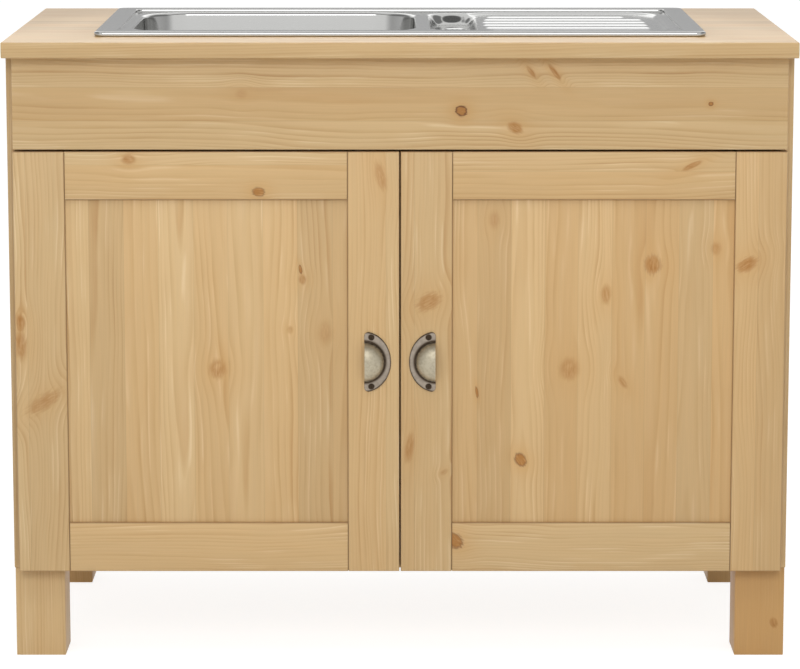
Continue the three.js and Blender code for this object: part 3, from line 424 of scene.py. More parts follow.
def knot_group():
    """One knot: it bends the grain round itself, and adds to the masks of heart, rim and halo.
    Its own fibres feather its edge. Lengths are in millimetres along and across the grain."""
    tree, given = new_group(
        "pine_knot",
        ["Along", "Across", *KNOT_MASKS, "Knot Along", "Knot Across", "Radius", "Stretch",
         "Turn", "Dark", "Ragged"],
        KNOT_MASKS,
    )
    along = add_node(tree, MATH, (given["Along"], given["Knot Along"]), operation="SUBTRACT")
    across = add_node(tree, MATH, (given["Across"], given["Knot Across"]), operation="SUBTRACT")
    place = add_node(tree, COMBINE, (along, across))
    place = add_node(
        tree, "ShaderNodeVectorRotate", {"Vector": place, "Angle": given["Turn"]},
        rotation_type="Z_AXIS")
    own = add_node(tree, SEPARATE, (place,), None)
    drawn_in = add_node(tree, MATH, (own[0], given["Stretch"]), operation="DIVIDE")
    oval = add_node(tree, COMBINE, (drawn_in, own[1]))
    distance = add_node(tree, VECTOR_MATH, (oval,), "Value", operation="LENGTH")
    ratio = add_node(tree, MATH, (distance, given["Radius"]), operation="DIVIDE")

    # the grain's bend and the halo follow the smooth oval
    square = add_node(tree, MATH, (ratio, ratio), operation="MULTIPLY")
    pinch = add_node(tree, MATH, (square, -0.22), operation="MULTIPLY")
    pinch = add_node(tree, MATH, (pinch,), operation="EXPONENT")
    shift = add_node(tree, MATH, (across, pinch), operation="MULTIPLY")
    shift = add_node(tree, MATH, (shift, -0.8, given["Shift"]), operation="MULTIPLY_ADD")
    halo = add_node(tree, MATH, (square, -0.16), operation="MULTIPLY")
    halo = add_node(tree, MATH, (halo,), operation="EXPONENT")

    # the heart and its rim follow a torn one, crisp on a dead knot and blurred on a live one
    fibres = add_node(tree, COMBINE, (own[0], own[1], given["Knot Along"]))
    fibre_size = (1 / KNOT_FIBRE_LENGTH, 1 / KNOT_FIBRE_WIDTH, 1)
    fibres = add_node(tree, VECTOR_MATH, (fibres, fibre_size), operation="MULTIPLY")
    torn = add_node(tree, NOISE, {"Vector": fibres, "Scale": 1.0, "Detail": 3.0})
    torn = add_node(tree, MATH, (torn, 0.5), operation="SUBTRACT")
    ratio = add_node(tree, MATH, (torn, given["Ragged"], ratio), operation="MULTIPLY_ADD")
    crisp = add_node(tree, MATH, (given["Dark"], 0.75, 0.2), operation="MULTIPLY_ADD")
    heart = add_node(
        tree, MAP_RANGE, {"Value": ratio, "From Min": 1.2, "From Max": crisp},
        interpolation_type="SMOOTHSTEP")
    streak = add_node(tree, MATH, (torn, 2.4, 1.0), operation="MULTIPLY_ADD")
    heart = add_node(tree, MATH, (heart, streak), operation="MULTIPLY")
    rim = add_node(tree, MATH, (ratio, 1.0), operation="SUBTRACT")
    rim = add_node(tree, MATH, (rim, rim), operation="MULTIPLY")
    rim = add_node(tree, MATH, (rim, -30.0), operation="MULTIPLY")
    rim = add_node(tree, MATH, (rim,), operation="EXPONENT")
    dead = add_node(tree, MAP_RANGE, {"Value": given["Dark"], "From Min": 0.5, "From Max": 0.95})
    found = {"Shift": shift}
    for name, mask, strength in (
            ("Heart", heart, given["Dark"]), ("Rim", rim, dead), ("Halo", halo, given["Dark"])):
        mask = add_node(tree, MATH, (mask, strength), operation="MULTIPLY")
        found[name] = add_node(tree, MATH, (given[name], mask), operation="MAXIMUM")
    add_node(tree, "NodeGroupOutput", found, None)
    return tree


# Slow and fine changes in the wood: length of their grains along, across and into the board in
# millimetres, and how much detail they have. Real fibres are finer than a pixel, and are drawn as
# wide as they need to be to show.
CLOUDS = [
    ("wander", (260, 90, 90), 1.0),
    ("ripple", (60, 14, 14), 2.0),
    ("turned up", (120, 15, 15), 1.0),
    ("fade", (150, 22, 22), 1.0),
    ("Fibre", (70, 1.5, 1.5), 2.0),
    ("Blotch", (210, 34, 34), 1.0),
]


def figure_group():
    """The rings of glued pine staves. Each stave has a heart of its own, somewhere behind the
    face, and the rings lie round it. Lengths are in millimetres."""
    tree, given = new_group(
        "pine_figure",
        ["Along", "Across", "Depth", "Shift", "Joint", "Stave", "Spacing", "Pith", "Spread",
         "Behind", "Seed"],
        ["Ring", "Glint", "Fibre", "Blotch", "Stave Tone", "Stave Warmth", "Seam",
         "Sapwood"],
    )
    counted = add_node(tree, MATH, (given["Across"], given["Joint"]), operation="SUBTRACT")
    counted = add_node(tree, MATH, (counted, given["Stave"]), operation="DIVIDE")
    number = add_node(tree, MATH, (counted,), operation="FLOOR")
    number = add_node(tree, MATH, (number, 7.31, given["Seed"]), operation="MULTIPLY_ADD")
    chance = add_node(tree, CHANCE, {"W": number}, "Color", noise_dimensions="1D")
    draws = add_node(tree, "ShaderNodeSeparateColor", (chance,), None)
    tone = add_node(tree, MATH, (number, 3.7), operation="ADD")
    tone = add_node(tree, CHANCE, {"W": tone}, noise_dimensions="1D")
    place = add_node(tree, COMBINE, (given["Along"], given["Across"], given["Depth"]))
    clouds = {}
    for name, grain, detail in CLOUDS:
        finer = [1 / size for size in grain]
        spot = add_node(tree, VECTOR_MATH, (place, finer), operation="MULTIPLY")
        clouds[name] = add_node(
            tree, NOISE, {"Vector": spot, "W": number, "Scale": 1.0, "Detail": detail},
            noise_dimensions="4D")

    # a thin glue line where two staves meet
    in_stave = add_node(tree, MATH, (counted,), operation="FRACT")
    in_stave = add_node(tree, MATH, (in_stave, 0.5), operation="SUBTRACT")
    off_middle = add_node(tree, MATH, (in_stave,), operation="ABSOLUTE")
    to_seam = add_node(tree, MATH, (0.5, off_middle), operation="SUBTRACT")
    to_seam = add_node(tree, MATH, (to_seam, given["Stave"]), operation="MULTIPLY")
    seam = add_node(tree, MAP_RANGE, {"Value": to_seam, "From Min": 0.9, "From Max": 0.2})

    # how far the heart lies from here
    pith = add_node(tree, MATH, (draws[0], 0.5), operation="SUBTRACT")
    pith = add_node(tree, MATH, (pith, given["Spread"], given["Pith"]), operation="MULTIPLY_ADD")
    side = add_node(tree, MATH, (in_stave, given["Stave"], given["Shift"]),
                    operation="MULTIPLY_ADD")
    side = add_node(tree, MATH, (side, pith), operation="SUBTRACT")
    for name, reach in (("wander", 26), ("ripple", 3.2)):
        away = add_node(tree, MATH, (clouds[name], 0.5), operation="SUBTRACT")
        side = add_node(tree, MATH, (away, reach, side), operation="MULTIPLY_ADD")
    behind = add_node(tree, MATH, (draws[1], 0.5), operation="ADD")
    depth = add_node(tree, MATH, (behind, given["Behind"], given["Depth"]),
                     operation="MULTIPLY_ADD")
    spot = add_node(tree, COMBINE, (side, depth))
    radius = add_node(tree, VECTOR_MATH, (spot,), "Value", operation="LENGTH")
    taper = add_node(tree, MATH, (draws[2], 0.035, -0.0175), operation="MULTIPLY_ADD")
    radius = add_node(tree, MATH, (given["Along"], taper, radius), operation="MULTIPLY_ADD")

    # years of fast and slow growth
    slow = add_node(tree, MATH, (radius, 1 / 14), operation="MULTIPLY")
    slow = add_node(tree, NOISE, {"W": slow, "Scale": 1.0, "Detail": 1.0}, noise_dimensions="1D")
    radius = add_node(tree, MATH, (slow, 9.0, radius), operation="MULTIPLY_ADD")
    count = add_node(tree, MATH, (radius, given["Spacing"]), operation="DIVIDE")
    turn = add_node(tree, MATH, (count,), operation="FRACT")
    year = add_node(tree, MATH, (count,), operation="FLOOR")
    year = add_node(tree, MATH, (year, number), operation="ADD")
    year = add_node(tree, CHANCE, {"W": year}, noise_dimensions="1D")

    # pale early wood darkens slowly to a late line, and the next ring starts pale
    ring = add_node(
        tree, RAMP, (turn,), stops=[(0.0, 0.02), (0.5, 0.2), (0.8, 0.85), (0.9, 1.0), (1.0, 0.02)])
    strength = add_node(tree, MATH, (year, 0.7, 0.3), operation="MULTIPLY_ADD")
    fade = add_node(tree, MAP_RANGE, {
        "Value": clouds["fade"], "From Min": 0.35, "From Max": 0.65, "To Min": 0.25})
    strength = add_node(tree, MATH, (strength, fade), operation="MULTIPLY")
    ring = add_node(tree, MATH, (ring, strength), operation="MULTIPLY")
    # painted glint: where the grain turns up, a thin band at each ring's edge is coloured pale as
    # though it caught the light
    turned_up = add_node(
        tree, MAP_RANGE, {"Value": clouds["turned up"], "From Min": 0.52, "From Max": 0.66},
        interpolation_type="SMOOTHSTEP")
    near = add_node(tree, MATH, (turn, 0.12), operation="SUBTRACT")
    near = add_node(tree, MATH, (near,), operation="ABSOLUTE")
    line = add_node(tree, MAP_RANGE, {"Value": near, "From Min": 0.16, "From Max": 0.02})
    sapwood_and_painted_glint = add_node(tree, MATH, (line, turned_up), operation="MULTIPLY")
    add_node(tree, "NodeGroupOutput", {
        "Ring": ring,
        "Glint": sapwood_and_painted_glint,
        "Fibre": clouds["Fibre"],
        "Blotch": clouds["Blotch"],
        "Stave Tone": tone,
        "Stave Warmth": draws[1],
        "Seam": seam,
        "Sapwood": turned_up,
    }, None)
    return tree


# A knot: its place along and across the grain, radius, stretch along its own length and turn in
# degrees, how dark it is (over 0.5 it is a dead one with a rim) and how ragged its edge is.
Knot = namedtuple("Knot", "along across radius stretch turn dark ragged", defaults=(1.0,))

# A board: how its grain lies, place of one glue joint, width of a stave, where the staves' hearts
# lie across them, how far they vary and how far behind the face they are, amber tint, knots and
# roughness. Lengths and places are in millimetres.
Board = namedtuple(
    "Board", "grain joint stave pith spread behind tint knots rough", defaults=(0.46,))

# How a board lies: which of X, Y and Z runs along the grain, across it and into the board.
ALONG_X = (0, 2, 1)
ALONG_Z = (2, 0, 1)
FLAT = (0, 1, 2)
SIDE = (2, 1, 0)


# painted shade along the doors' joints, where one board meets the next
JOINT_SHADE_FROM, JOINT_SHADE_TO = 1.5, 0.4  # where a joint's dark line begins and is full, in millimetres
JOINT_SHADE_SHARE = 0.42
TONE_SHARES = (0.12, 0.09, 0.15)  # how much fibres, blotches and staves differ in tone


def pine(name, board, low, high, seed, hidden):
    """Solid pine, planed and finished with clear oil: low-contrast rings, fine fibres, soft knots,
    painted shade along the joints, a painted glint on some ring edges, and a silky shine that shows
    only at a low angle."""
    wood = bpy.context.scene.cabinet_wood
    material, tree = new_material(name)
    middle = [value / MM for value in middle_of(low, high)]
    along, across, depth = board.grain
    place = add_node(tree, COORDINATES, out="Object")
    place = add_node(tree, "ShaderNodeMapping", {
        "Vector": place, "Location": [-value for value in middle], "Scale": [1 / MM] * 3})
    axes = add_node(tree, SEPARATE, (place,), None)
    found = {mask: 0.0 for mask in KNOT_MASKS}
    for knot in board.knots:
        found = add_node(tree, "ShaderNodeGroup", {
            "Along": axes[along],
            "Across": axes[across],
            "Knot Along": knot.along - middle[along],
            "Knot Across": knot.across - middle[across],
            "Radius": knot.radius,
            "Stretch": knot.stretch,
            "Turn": math.radians(knot.turn),
            "Dark": knot.dark,
            "Ragged": knot.ragged,
            **{mask: found[mask] for mask in KNOT_MASKS},
        }, None, node_tree=bpy.data.node_groups["pine_knot"])
    figure = add_node(tree, "ShaderNodeGroup", {
        "Along": axes[along],
        "Across": axes[across],
        "Depth": axes[depth],
        "Shift": found["Shift"],
        "Joint": board.joint - middle[across],
        "Stave": board.stave,
        "Spacing": wood.ring / MM,
        "Pith": board.pith,
        "Spread": board.spread,
        "Behind": board.behind,
        "Seed": seed,
    }, None, node_tree=bpy.data.node_groups["pine_figure"])

    warmth = add_node(
        tree, MATH, (figure["Stave Warmth"], 0.32, board.tint), operation="MULTIPLY_ADD")
    layers = [
        (wood.deep, figure["Ring"], 0.85),
        (wood.sapwood_and_painted_glint, figure["Sapwood"], 0.12),
        # painted glint on some ring edges
        (wood.sapwood_and_painted_glint, figure["Glint"], 0.65),
        (wood.amber, warmth, 1.0),
    ]
    if board.knots:
        layers += [
            (wood.amber, found["Halo"], 0.8),
            (wood.knot, found["Heart"], 1.45),
            (wood.knot_rim_and_joint_shade, found["Rim"], 0.9),
        ]
    if hidden:
        # painted shade: each door board darkens within 1.5 mm of its visible edges, standing in for
        # the shade in the gap where it meets the next board
        inward = []
        for axis, inset in zip((along, across), hidden):
            reach = (high[axis] - low[axis]) / 2 / MM - inset
            away = add_node(tree, MATH, (axes[axis],), operation="ABSOLUTE")
            inward.append(add_node(tree, MATH, (reach, away), operation="SUBTRACT"))
        nearest = add_node(tree, MATH, inward, operation="MINIMUM")
        joint_shade_mask = add_node(tree, MAP_RANGE, {
            "Value": nearest, "From Min": JOINT_SHADE_FROM, "From Max": JOINT_SHADE_TO})
        layers.append((wood.knot_rim_and_joint_shade, joint_shade_mask, JOINT_SHADE_SHARE))
    tint = wood.pale
    for stain, mask, most in layers:
        share = add_node(tree, MATH, (mask, most), operation="MULTIPLY", use_clamp=True)
        tint = add_node(
            tree, MIX, {0: share, MIX_A: tint, MIX_B: stain}, MIX_RESULT, data_type="RGBA")
    shade = add_node(tree, COMBINE, (figure["Fibre"], figure["Blotch"], figure["Stave Tone"]))
    shade = add_node(tree, VECTOR_MATH, (shade, TONE_SHARES), "Value", operation="DOT_PRODUCT")
    shade = add_node(tree, MATH, (shade, 1 - sum(TONE_SHARES) / 2), operation="ADD")
    shade = add_node(tree, MATH, (figure["Seam"], -0.07, shade), operation="MULTIPLY_ADD")
    grey = add_node(tree, "ShaderNodeCombineColor", (shade, shade, shade))
    tint = add_node(
        tree, MIX, {0: 1.0, MIX_A: tint, MIX_B: grey}, MIX_RESULT, data_type="RGBA",
        blend_type="MULTIPLY")
    rough = add_node(tree, MATH, (figure["Ring"], 0.08, board.rough), operation="MULTIPLY_ADD")
    height = add_node(
        tree, MATH, (figure["Fibre"], 0.6, figure["Ring"]), operation="MULTIPLY_ADD")
    bump = add_node(tree, BUMP, {"Strength": 0.25, "Distance": 0.06 * MM, "Height": height})
    shader = add_node(
        tree, PRINCIPLED, {"Base Color": tint, "Roughness": rough, "IOR": 1.46, "Normal": bump})
    add_node(tree, OUTPUT, {"Surface": shader}, None)
    return material


FAR = 400  # stave width that leaves a board in one piece

BOARDS = {
    "worktop": Board(FLAT, -300, 52, 0, 60, 55, 0.12, [], 0.3),
    "front_apron": Board(ALONG_X, 769, 47.2, 20, 50, 60, 0.03, [
        Knot(85, 783, 6.5, 1.1, 0, 0.95),
        Knot(160, 759.5, 8, 1.5, 30, 0.5),
        Knot(182, 837, 3.5, 3.2, 52, 0.45),
        Knot(214, 837, 3.5, 4.2, 52, 0.5),
        Knot(431, 793, 2.5, 1.2, 0, 0.9),
        Knot(-220, 807, 8, 1.2, 0, 0.15),
    ]),
    "side_panel_left": Board(SIDE, -259, 52, 0, 60, -50, 0.1, []),
    "side_panel_right": Board(SIDE, -259, 52, 0, 60, 50, 0.14, []),
    "bottom_panel": Board(FLAT, -259, 52, 0, 60, -50, 0.05, []),
    "front_top_rail": Board(ALONG_X, 0, FAR, 30, 20, 50, 0.05, []),
    "rear_top_rail": Board(ALONG_X, 0, FAR, 30, 20, -50, 0.05, []),
    "leg_front_left": Board(ALONG_Z, -800, FAR, 60, 20, 40, 0.05, []),
    "leg_front_right": Board(ALONG_Z, -800, FAR, 60, 20, 40, 0.75, [
        Knot(47, 533, 6, 1.3, 20, 0.5),
    ]),
    "leg_rear_left": Board(ALONG_Z, -800, FAR, 60, 20, 40, 0.3, []),
    "leg_rear_right": Board(ALONG_Z, -800, FAR, 60, 20, 40, 0.3, []),
    "back_panel": Board(ALONG_X, 0, 120, 30, 60, -50, 0.05, []),
    "left_door_hinge_stile": Board(ALONG_Z, -521.5, 60, 70, 30, 60, 0.0, [
        Knot(485, -531, 7, 2.0, 0, 0.5),
        Knot(453, -531, 9, 2.6, 0, 0.4),
        Knot(372, -500, 12, 2.6, -57, 0.34, 1.5),
    ]),
    "left_door_pull_stile": Board(ALONG_Z, -19.3, 60, -60, 30, 60, 0.05, [
        Knot(692, -27, 8, 3.0, 12, 0.35, 1.2),
    ]),
    "left_door_bottom_rail": Board(ALONG_X, 0, FAR, 10, 20, 34, 0.0, []),
    "left_door_top_rail": Board(ALONG_X, 708, 60, 40, 20, 60, 0.05, [
        Knot(-377, 716, 8, 1.4, 0, 0.45),
        Knot(-197, 670, 6, 1.3, 0, 0.7),
    ]),
    "left_door_panel": Board(ALONG_Z, -434.5, 48.6, 0, 70, 45, 0.05, [
        Knot(560, -139, 2, 3.0, 10, 0.8),
        Knot(546, -136, 6, 1.3, 0, 0.4),
        Knot(419, -256, 13, 1.2, 0, 0.42, 1.0),
        Knot(475, -154, 5, 1.3, 0, 0.3),
        Knot(470, -105, 13, 1.6, 0, 0.22, 1.0),
    ]),
    "right_door_hinge_stile": Board(ALONG_Z, 500, 60, -70, 30, 60, 0.08, [
        Knot(568, 484, 10, 1.7, -60, 0.5, 1.3),
    ]),
    "right_door_pull_stile": Board(ALONG_Z, 20.4, 60, 60, 30, 60, 0.0, [
        Knot(515, 40, 13, 1.5, -60, 0.42, 1.4),
        Knot(307, 13, 7, 3.2, -8, 0.4, 1.2),
        Knot(272, 62, 4, 1.8, -60, 0.25),
    ]),
    "right_door_bottom_rail": Board(ALONG_X, 0, FAR, 20, 20, 45, 0.1, [
        Knot(77, 173, 9, 1.3, 40, 0.75),
    ]),
    "right_door_top_rail": Board(ALONG_X, 698.8, 60, 40, 20, 60, 0.08, [
        Knot(406, 707, 4, 4.0, -25, 0.5, 0.9),
    ]),
    "right_door_panel": Board(ALONG_Z, 108.6, 46.9, 0, 70, 45, 0.2, [
        Knot(525, 288, 8, 2.0, 0, 0.38),
        Knot(567, 353, 11, 1.2, 0, 0.55, 1.2),
        Knot(419, 237, 15, 1.2, 0, 0.36, 0.9),
        Knot(289, 170, 7, 1.3, 30, 0.75, 0.8),
        Knot(400, 313, 5, 2.4, 35, 0.35),
        Knot(386, 108, 2, 4.0, 8, 0.7),
        Knot(590, 441, 8, 1.3, 0, 0.3),
        Knot(630, 131, 9, 1.6, 0, 0.22),
    ]),
}


# How much of a door's boards lies hidden in their neighbours, along the grain and across it, in
# millimetres.
HIDDEN = {"stile": (0, 0), "rail": (8, 0), "door_panel": (8, 8)}


def board_material(node):
    """The pine of one board, with its own staves and knots."""
    for name, make in (("pine_knot", knot_group), ("pine_figure", figure_group)):
        if name not in bpy.data.node_groups:
            make()
    low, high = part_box(node)
    seed = 11.0 + 5.0 * list(BOARDS).index(node)
    hidden = None
    if "_door_" in node:
        hidden = next(value for kind, value in HIDDEN.items() if node.endswith(kind))
    return pine(f"oiled_pine_{node}", BOARDS[node], low, high, seed, hidden)


# ---------------------------------------------------------------- other finishes

def steel():
    """Stainless steel, pressed and finely polished: soft broad reflections, with faint waves
    left by the press and a haze of very fine scratches. Real scratches are finer than a pixel,
    and their haze is drawn 2 mm coarse so that it shows."""
    material, tree = new_material("satin_stainless_steel")
    place = add_node(tree, COORDINATES, out="Object")
    haze = add_node(tree, NOISE, {"Vector": place, "Scale": 1 / (2 * MM), "Detail": 3.0})
    rough = add_node(tree, MAP_RANGE, {"Value": haze, "To Min": 0.09, "To Max": 0.14})
    waves = add_node(tree, NOISE, {"Vector": place, "Scale": 1 / (55 * MM), "Detail": 1.0})
    bump = add_node(tree, BUMP, {"Strength": 0.3, "Distance": 0.6 * MM, "Height": waves})
    shader = add_node(tree, PRINCIPLED, {
        "Base Color": bpy.context.scene.cabinet_sink.steel,
        "Metallic": 1.0,
        "Roughness": rough,
        "Normal": bump,
    })
    add_node(tree, OUTPUT, {"Surface": shader}, None)
    return material


def nickel():
    """Nickel-plated steel: bright, slightly yellow grey, with a fine orange-peel, drawn
    0.8 mm coarse so that it shows."""
    material, tree = new_material("nickel_plated_steel")
    place = add_node(tree, COORDINATES, out="Object")
    grain = add_node(tree, NOISE, {"Vector": place, "Scale": 1 / (0.8 * MM), "Detail": 2.0})
    rough = add_node(tree, MAP_RANGE, {"Value": grain, "To Min": 0.22, "To Max": 0.34})
    bump = add_node(tree, BUMP, {"Strength": 0.2, "Distance": 0.03 * MM, "Height": grain})
    shader = add_node(tree, PRINCIPLED, {
        "Base Color": linear("#c9c5bb"), "Metallic": 1.0, "Roughness": rough, "Normal": bump})
    add_node(tree, OUTPUT, {"Surface": shader}, None)
    return material


def polypropylene():
    """White polypropylene, moulded: slightly warm, half matt, with a fine moulded texture,
    drawn 0.7 mm coarse so that it shows."""
    material, tree = new_material("white_polypropylene")
    place = add_node(tree, COORDINATES, out="Object")
    grain = add_node(tree, NOISE, {"Vector": place, "Scale": 1 / (0.7 * MM), "Detail": 2.0})
    cloud = add_node(tree, NOISE, {"Vector": place, "Scale": 1 / (40 * MM)})
    tint = add_node(tree, RAMP, (cloud,), stops=[(0.3, "#e4e3dd"), (0.7, "#efeeea")])
    rough = add_node(tree, MAP_RANGE, {"Value": grain, "To Min": 0.38, "To Max": 0.52})
    bump = add_node(tree, BUMP, {"Strength": 0.25, "Distance": 0.05 * MM, "Height": grain})
    shader = add_node(
        tree, PRINCIPLED, {"Base Color": tint, "Roughness": rough, "IOR": 1.49, "Normal": bump})
    add_node(tree, OUTPUT, {"Surface": shader}, None)
    return material


def foam():
    """Closed-cell foam strip: dark, dull and finely pitted."""
    material, tree = new_material("foam_seal")
    place = add_node(tree, COORDINATES, out="Object")
    cells = add_node(tree, "ShaderNodeTexVoronoi", {"Vector": place, "Scale": 1 / (0.9 * MM)})
    # painted shade: the cells that dent the foam also colour its pits darker than their walls
    tint = add_node(tree, RAMP, (cells,), stops=[(0.0, "#1d1d1d"), (0.6, "#3a3a39")])
    bump = add_node(tree, BUMP, {"Strength": 0.5, "Distance": 0.2 * MM, "Height": cells})
    shader = add_node(tree, PRINCIPLED, {"Base Color": tint, "Roughness": 0.9, "Normal": bump})
    add_node(tree, OUTPUT, {"Surface": shader}, None)
    return material


# ---------------------------------------------------------------- the boards

PLAIN_BOARDS = [
    "front_apron", "side_panel_left", "side_panel_right", "bottom_panel", "front_top_rail",
    "rear_top_rail", "leg_front_left", "leg_front_right", "leg_rear_left", "leg_rear_right",
]


def make_plain_board(node):
    low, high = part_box(node)
    board = block(f"{node}_board", low, high, bpy.context.scene.cabinet_wood.ease)
    smooth(board)
    settle(board, "cabinet", "pine", board_material(node), node)


def rounded_block(name, low, high, radius, axis="Z"):
    """A block with four of its corners rounded, those that run along one axis."""
    tool = block(name, low, high, 0)
    along = AXES[axis]
    mesh = tool.data
    clear_selection(mesh)
    for edge in mesh.edges:
        ends = [mesh.vertices[v].co for v in edge.vertices]
        edge.select = abs((ends[1] - ends[0]).normalized().dot(along)) > 0.9
    edit(tool, "EDGE")
    bpy.ops.mesh.bevel(offset=radius, segments=10, profile=0.5, affect="EDGES")
    leave()
    return tool


CUTOUT_MARGIN = 10 * MM  # sink's edge to the worktop's cut-out
CUTOUT_RADIUS = 15 * MM


def make_worktop():
    low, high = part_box("worktop")
    wood = bpy.context.scene.cabinet_wood
    board = block("worktop_board", low, high, wood.top_ease, 4)
    sink_low, sink_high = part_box("sink_top")
    past = 5 * MM
    tool = rounded_block(
        "cutout",
        (sink_low.x + CUTOUT_MARGIN, sink_low.y + CUTOUT_MARGIN, low.z - past),
        (sink_high.x - CUTOUT_MARGIN, sink_high.y - CUTOUT_MARGIN, high.z + past),
        CUTOUT_RADIUS,
    )
    combine(board, tool)
    smooth(board)
    settle(board, "cabinet", "pine", board_material("worktop"), "worktop")


# ---------------------------------------------------------------- the doors

GROOVE_DEPTH = 9 * MM
GROOVE_PLAY = 0.3 * MM  # panel's faces to the groove
TENON_LENGTH = 8 * MM
CUP_BORE_RADIUS = 17.5 * MM
CUP_BORE_DEPTH = 13 * MM


def strip_between(piece, front, back):
    """Cuts a piece's faces along two upright planes, so that the strip between can be pulled."""
    edit(piece, "FACE")
    for y in (front, back):
        bpy.ops.mesh.select_all(action="SELECT")
        bpy.ops.mesh.bisect(plane_co=(0, y, 0), plane_no=(0, 1, 0))
    leave()


def pull_faces(piece, move, test):
    """Draws the faces that pass a test out of a piece, or into it."""
    open_faces(piece, test)
    bpy.ops.mesh.extrude_region_move(TRANSFORM_OT_translate={"value": move})
    leave()


def make_stile(side, kind):
    """A door's upright: full height, grooved for the panel, bored for the hinge cups."""
    node = f"{side}_door_{kind}"
    low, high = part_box(node)
    panel_low, panel_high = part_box(f"{side}_door_panel")
    stile = block(f"{node}_board", low, high, bpy.context.scene.cabinet_wood.ease)
    front, back = panel_low.y - GROOVE_PLAY, panel_high.y + GROOVE_PLAY
    strip_between(stile, front, back)
    inwards = 1 if (panel_low.x + panel_high.x) > (low.x + high.x) else -1
    pull_faces(
        stile, (-inwards * GROOVE_DEPTH, 0, 0),
        lambda middle, normal: normal.x * inwards > 0.99 and front < middle.y < back,
    )
    if kind == "hinge_stile":
        for place in ("lower", "upper"):
            cup_low, cup_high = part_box(f"{side}_hinge_cup_{place}")
            deselect()
            run = 2 * CUP_BORE_DEPTH
            bpy.ops.mesh.primitive_cylinder_add(
                vertices=64, radius=CUP_BORE_RADIUS, depth=run, rotation=(math.pi / 2, 0, 0),
                location=(
                    (cup_low.x + cup_high.x) / 2,
                    high.y - CUP_BORE_DEPTH + run / 2,
                    (cup_low.z + cup_high.z) / 2,
                ),
            )
            combine(stile, begin("bore"))
    smooth(stile)
    settle(stile, f"{side}_door", "pine", board_material(node), node)


def make_rail(side, kind):
    """A door's cross rail, with a stub tenon at each end and a groove for the panel."""
    node = f"{side}_door_{kind}"
    low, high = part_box(node)
    panel_low, panel_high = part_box(f"{side}_door_panel")
    low.x += TENON_LENGTH
    high.x -= TENON_LENGTH
    rail = block(f"{node}_board", low, high, bpy.context.scene.cabinet_wood.ease)
    strip_between(rail, panel_low.y, panel_high.y)
    for end in (-1, 1):
        pull_faces(
            rail, (end * TENON_LENGTH, 0, 0),
            lambda middle, normal: normal.x * end > 0.99
            and panel_low.y < middle.y < panel_high.y,
        )
    up = 1 if kind == "bottom_rail" else -1
    pull_faces(
        rail, (0, 0, -up * GROOVE_DEPTH),
        lambda middle, normal: normal.z * up > 0.99
        and panel_low.y < middle.y < panel_high.y and low.x < middle.x < high.x,
    )
    smooth(rail)
    settle(rail, f"{side}_door", "pine", board_material(node), node)


def make_door(side):
    for kind in ("hinge_stile", "pull_stile"):
        make_stile(side, kind)
    for kind in ("bottom_rail", "top_rail"):
        make_rail(side, kind)
    node = f"{side}_door_panel"
    low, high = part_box(node)
    panel = block(f"{node}_board", low, high, bpy.context.scene.cabinet_wood.ease)
    smooth(panel)
    settle(panel, f"{side}_door", "pine_panel", board_material(node), node)


# ---------------------------------------------------------------- the sink

OUTER_RADIUS = 15 * MM
RIM_TUCK = 1.3 * MM  # the rim's edge curls under, by this much in and up
DECK_RADIUS = 12 * MM
DECK_STEP = 4 * MM
FLAT_RING = 1.5 * MM  # flat band beside each roll, which keeps the shading of the flats clean
STEP_SLOPE = 75
BOWL_RADIUS = 80 * MM
BOWL_SLOPE = 86
WASTE_HOLE_RADIUS = 45 * MM
TRAY_DEPTH = 3 * MM
TRAY_EDGE = 7 * MM
DISH_DEPTH = 16 * MM
DISH_EDGE = 15 * MM
DISH_DRAIN_RADIUS = 14 * MM
DISH_WIDTH, DISH_LENGTH = 72 * MM, 292 * MM
DISH_GAP = 17 * MM  # bowl to the dish
TRAY_LEFT, TRAY_RIGHT = 90 * MM, 386 * MM
TRAY_FRONT, TRAY_REAR = -166 * MM, 185 * MM
TRAY_RADIUS = 60 * MM
RIB_COUNT = 6
RIB_PITCH = 46.8 * MM
RIB_END = 7 * MM
RIB_LEFT, RIB_RIGHT = 119 * MM, 363 * MM  # ends of the middle ribs
RIB_LEFT_DRAW, RIB_RIGHT_DRAW = 9 * MM, 26 * MM  # how far the outer ribs' ends are drawn in
PLAIN_LEFT, PLAIN_RIGHT = 140 * MM, 322 * MM  # ribs run straight between, so a coarse grid does
FINE_STEP, COARSE_STEP, ROW_STEP = 2 * MM, 9 * MM, 1.7 * MM


def bend(radius, first, last, steps):
    """(inwards, down) steps round a bend in the sheet, between two slopes in degrees."""
    slopes = [math.radians(first + (last - first) * i / steps) for i in range(steps + 1)]
    return [
        (radius * abs(math.sin(b) - math.sin(a)), radius * abs(math.cos(a) - math.cos(b)))
        for a, b in zip(slopes, slopes[1:])
    ]


def outline(name, middle, size, radius, steps=12):
    """A flat face with round corners, left open in edit mode with the face selected."""
    deselect()
    bpy.ops.mesh.primitive_plane_add(size=1, location=middle)
    sheet = begin(name, (*size, 1))
    edit(sheet, "VERT")
    bpy.ops.mesh.select_all(action="SELECT")
    bpy.ops.mesh.bevel(affect="VERTICES", offset=radius, segments=steps, profile=0.5)
    bpy.ops.mesh.select_all(action="SELECT")
    return sheet


def press(steps):
    """Presses the selected face in, step by step, and takes the last face out."""
    for inwards, down in steps:
        bpy.ops.mesh.inset(thickness=inwards, depth=-down)
    bpy.ops.mesh.delete(type="ONLY_FACE")
    leave()


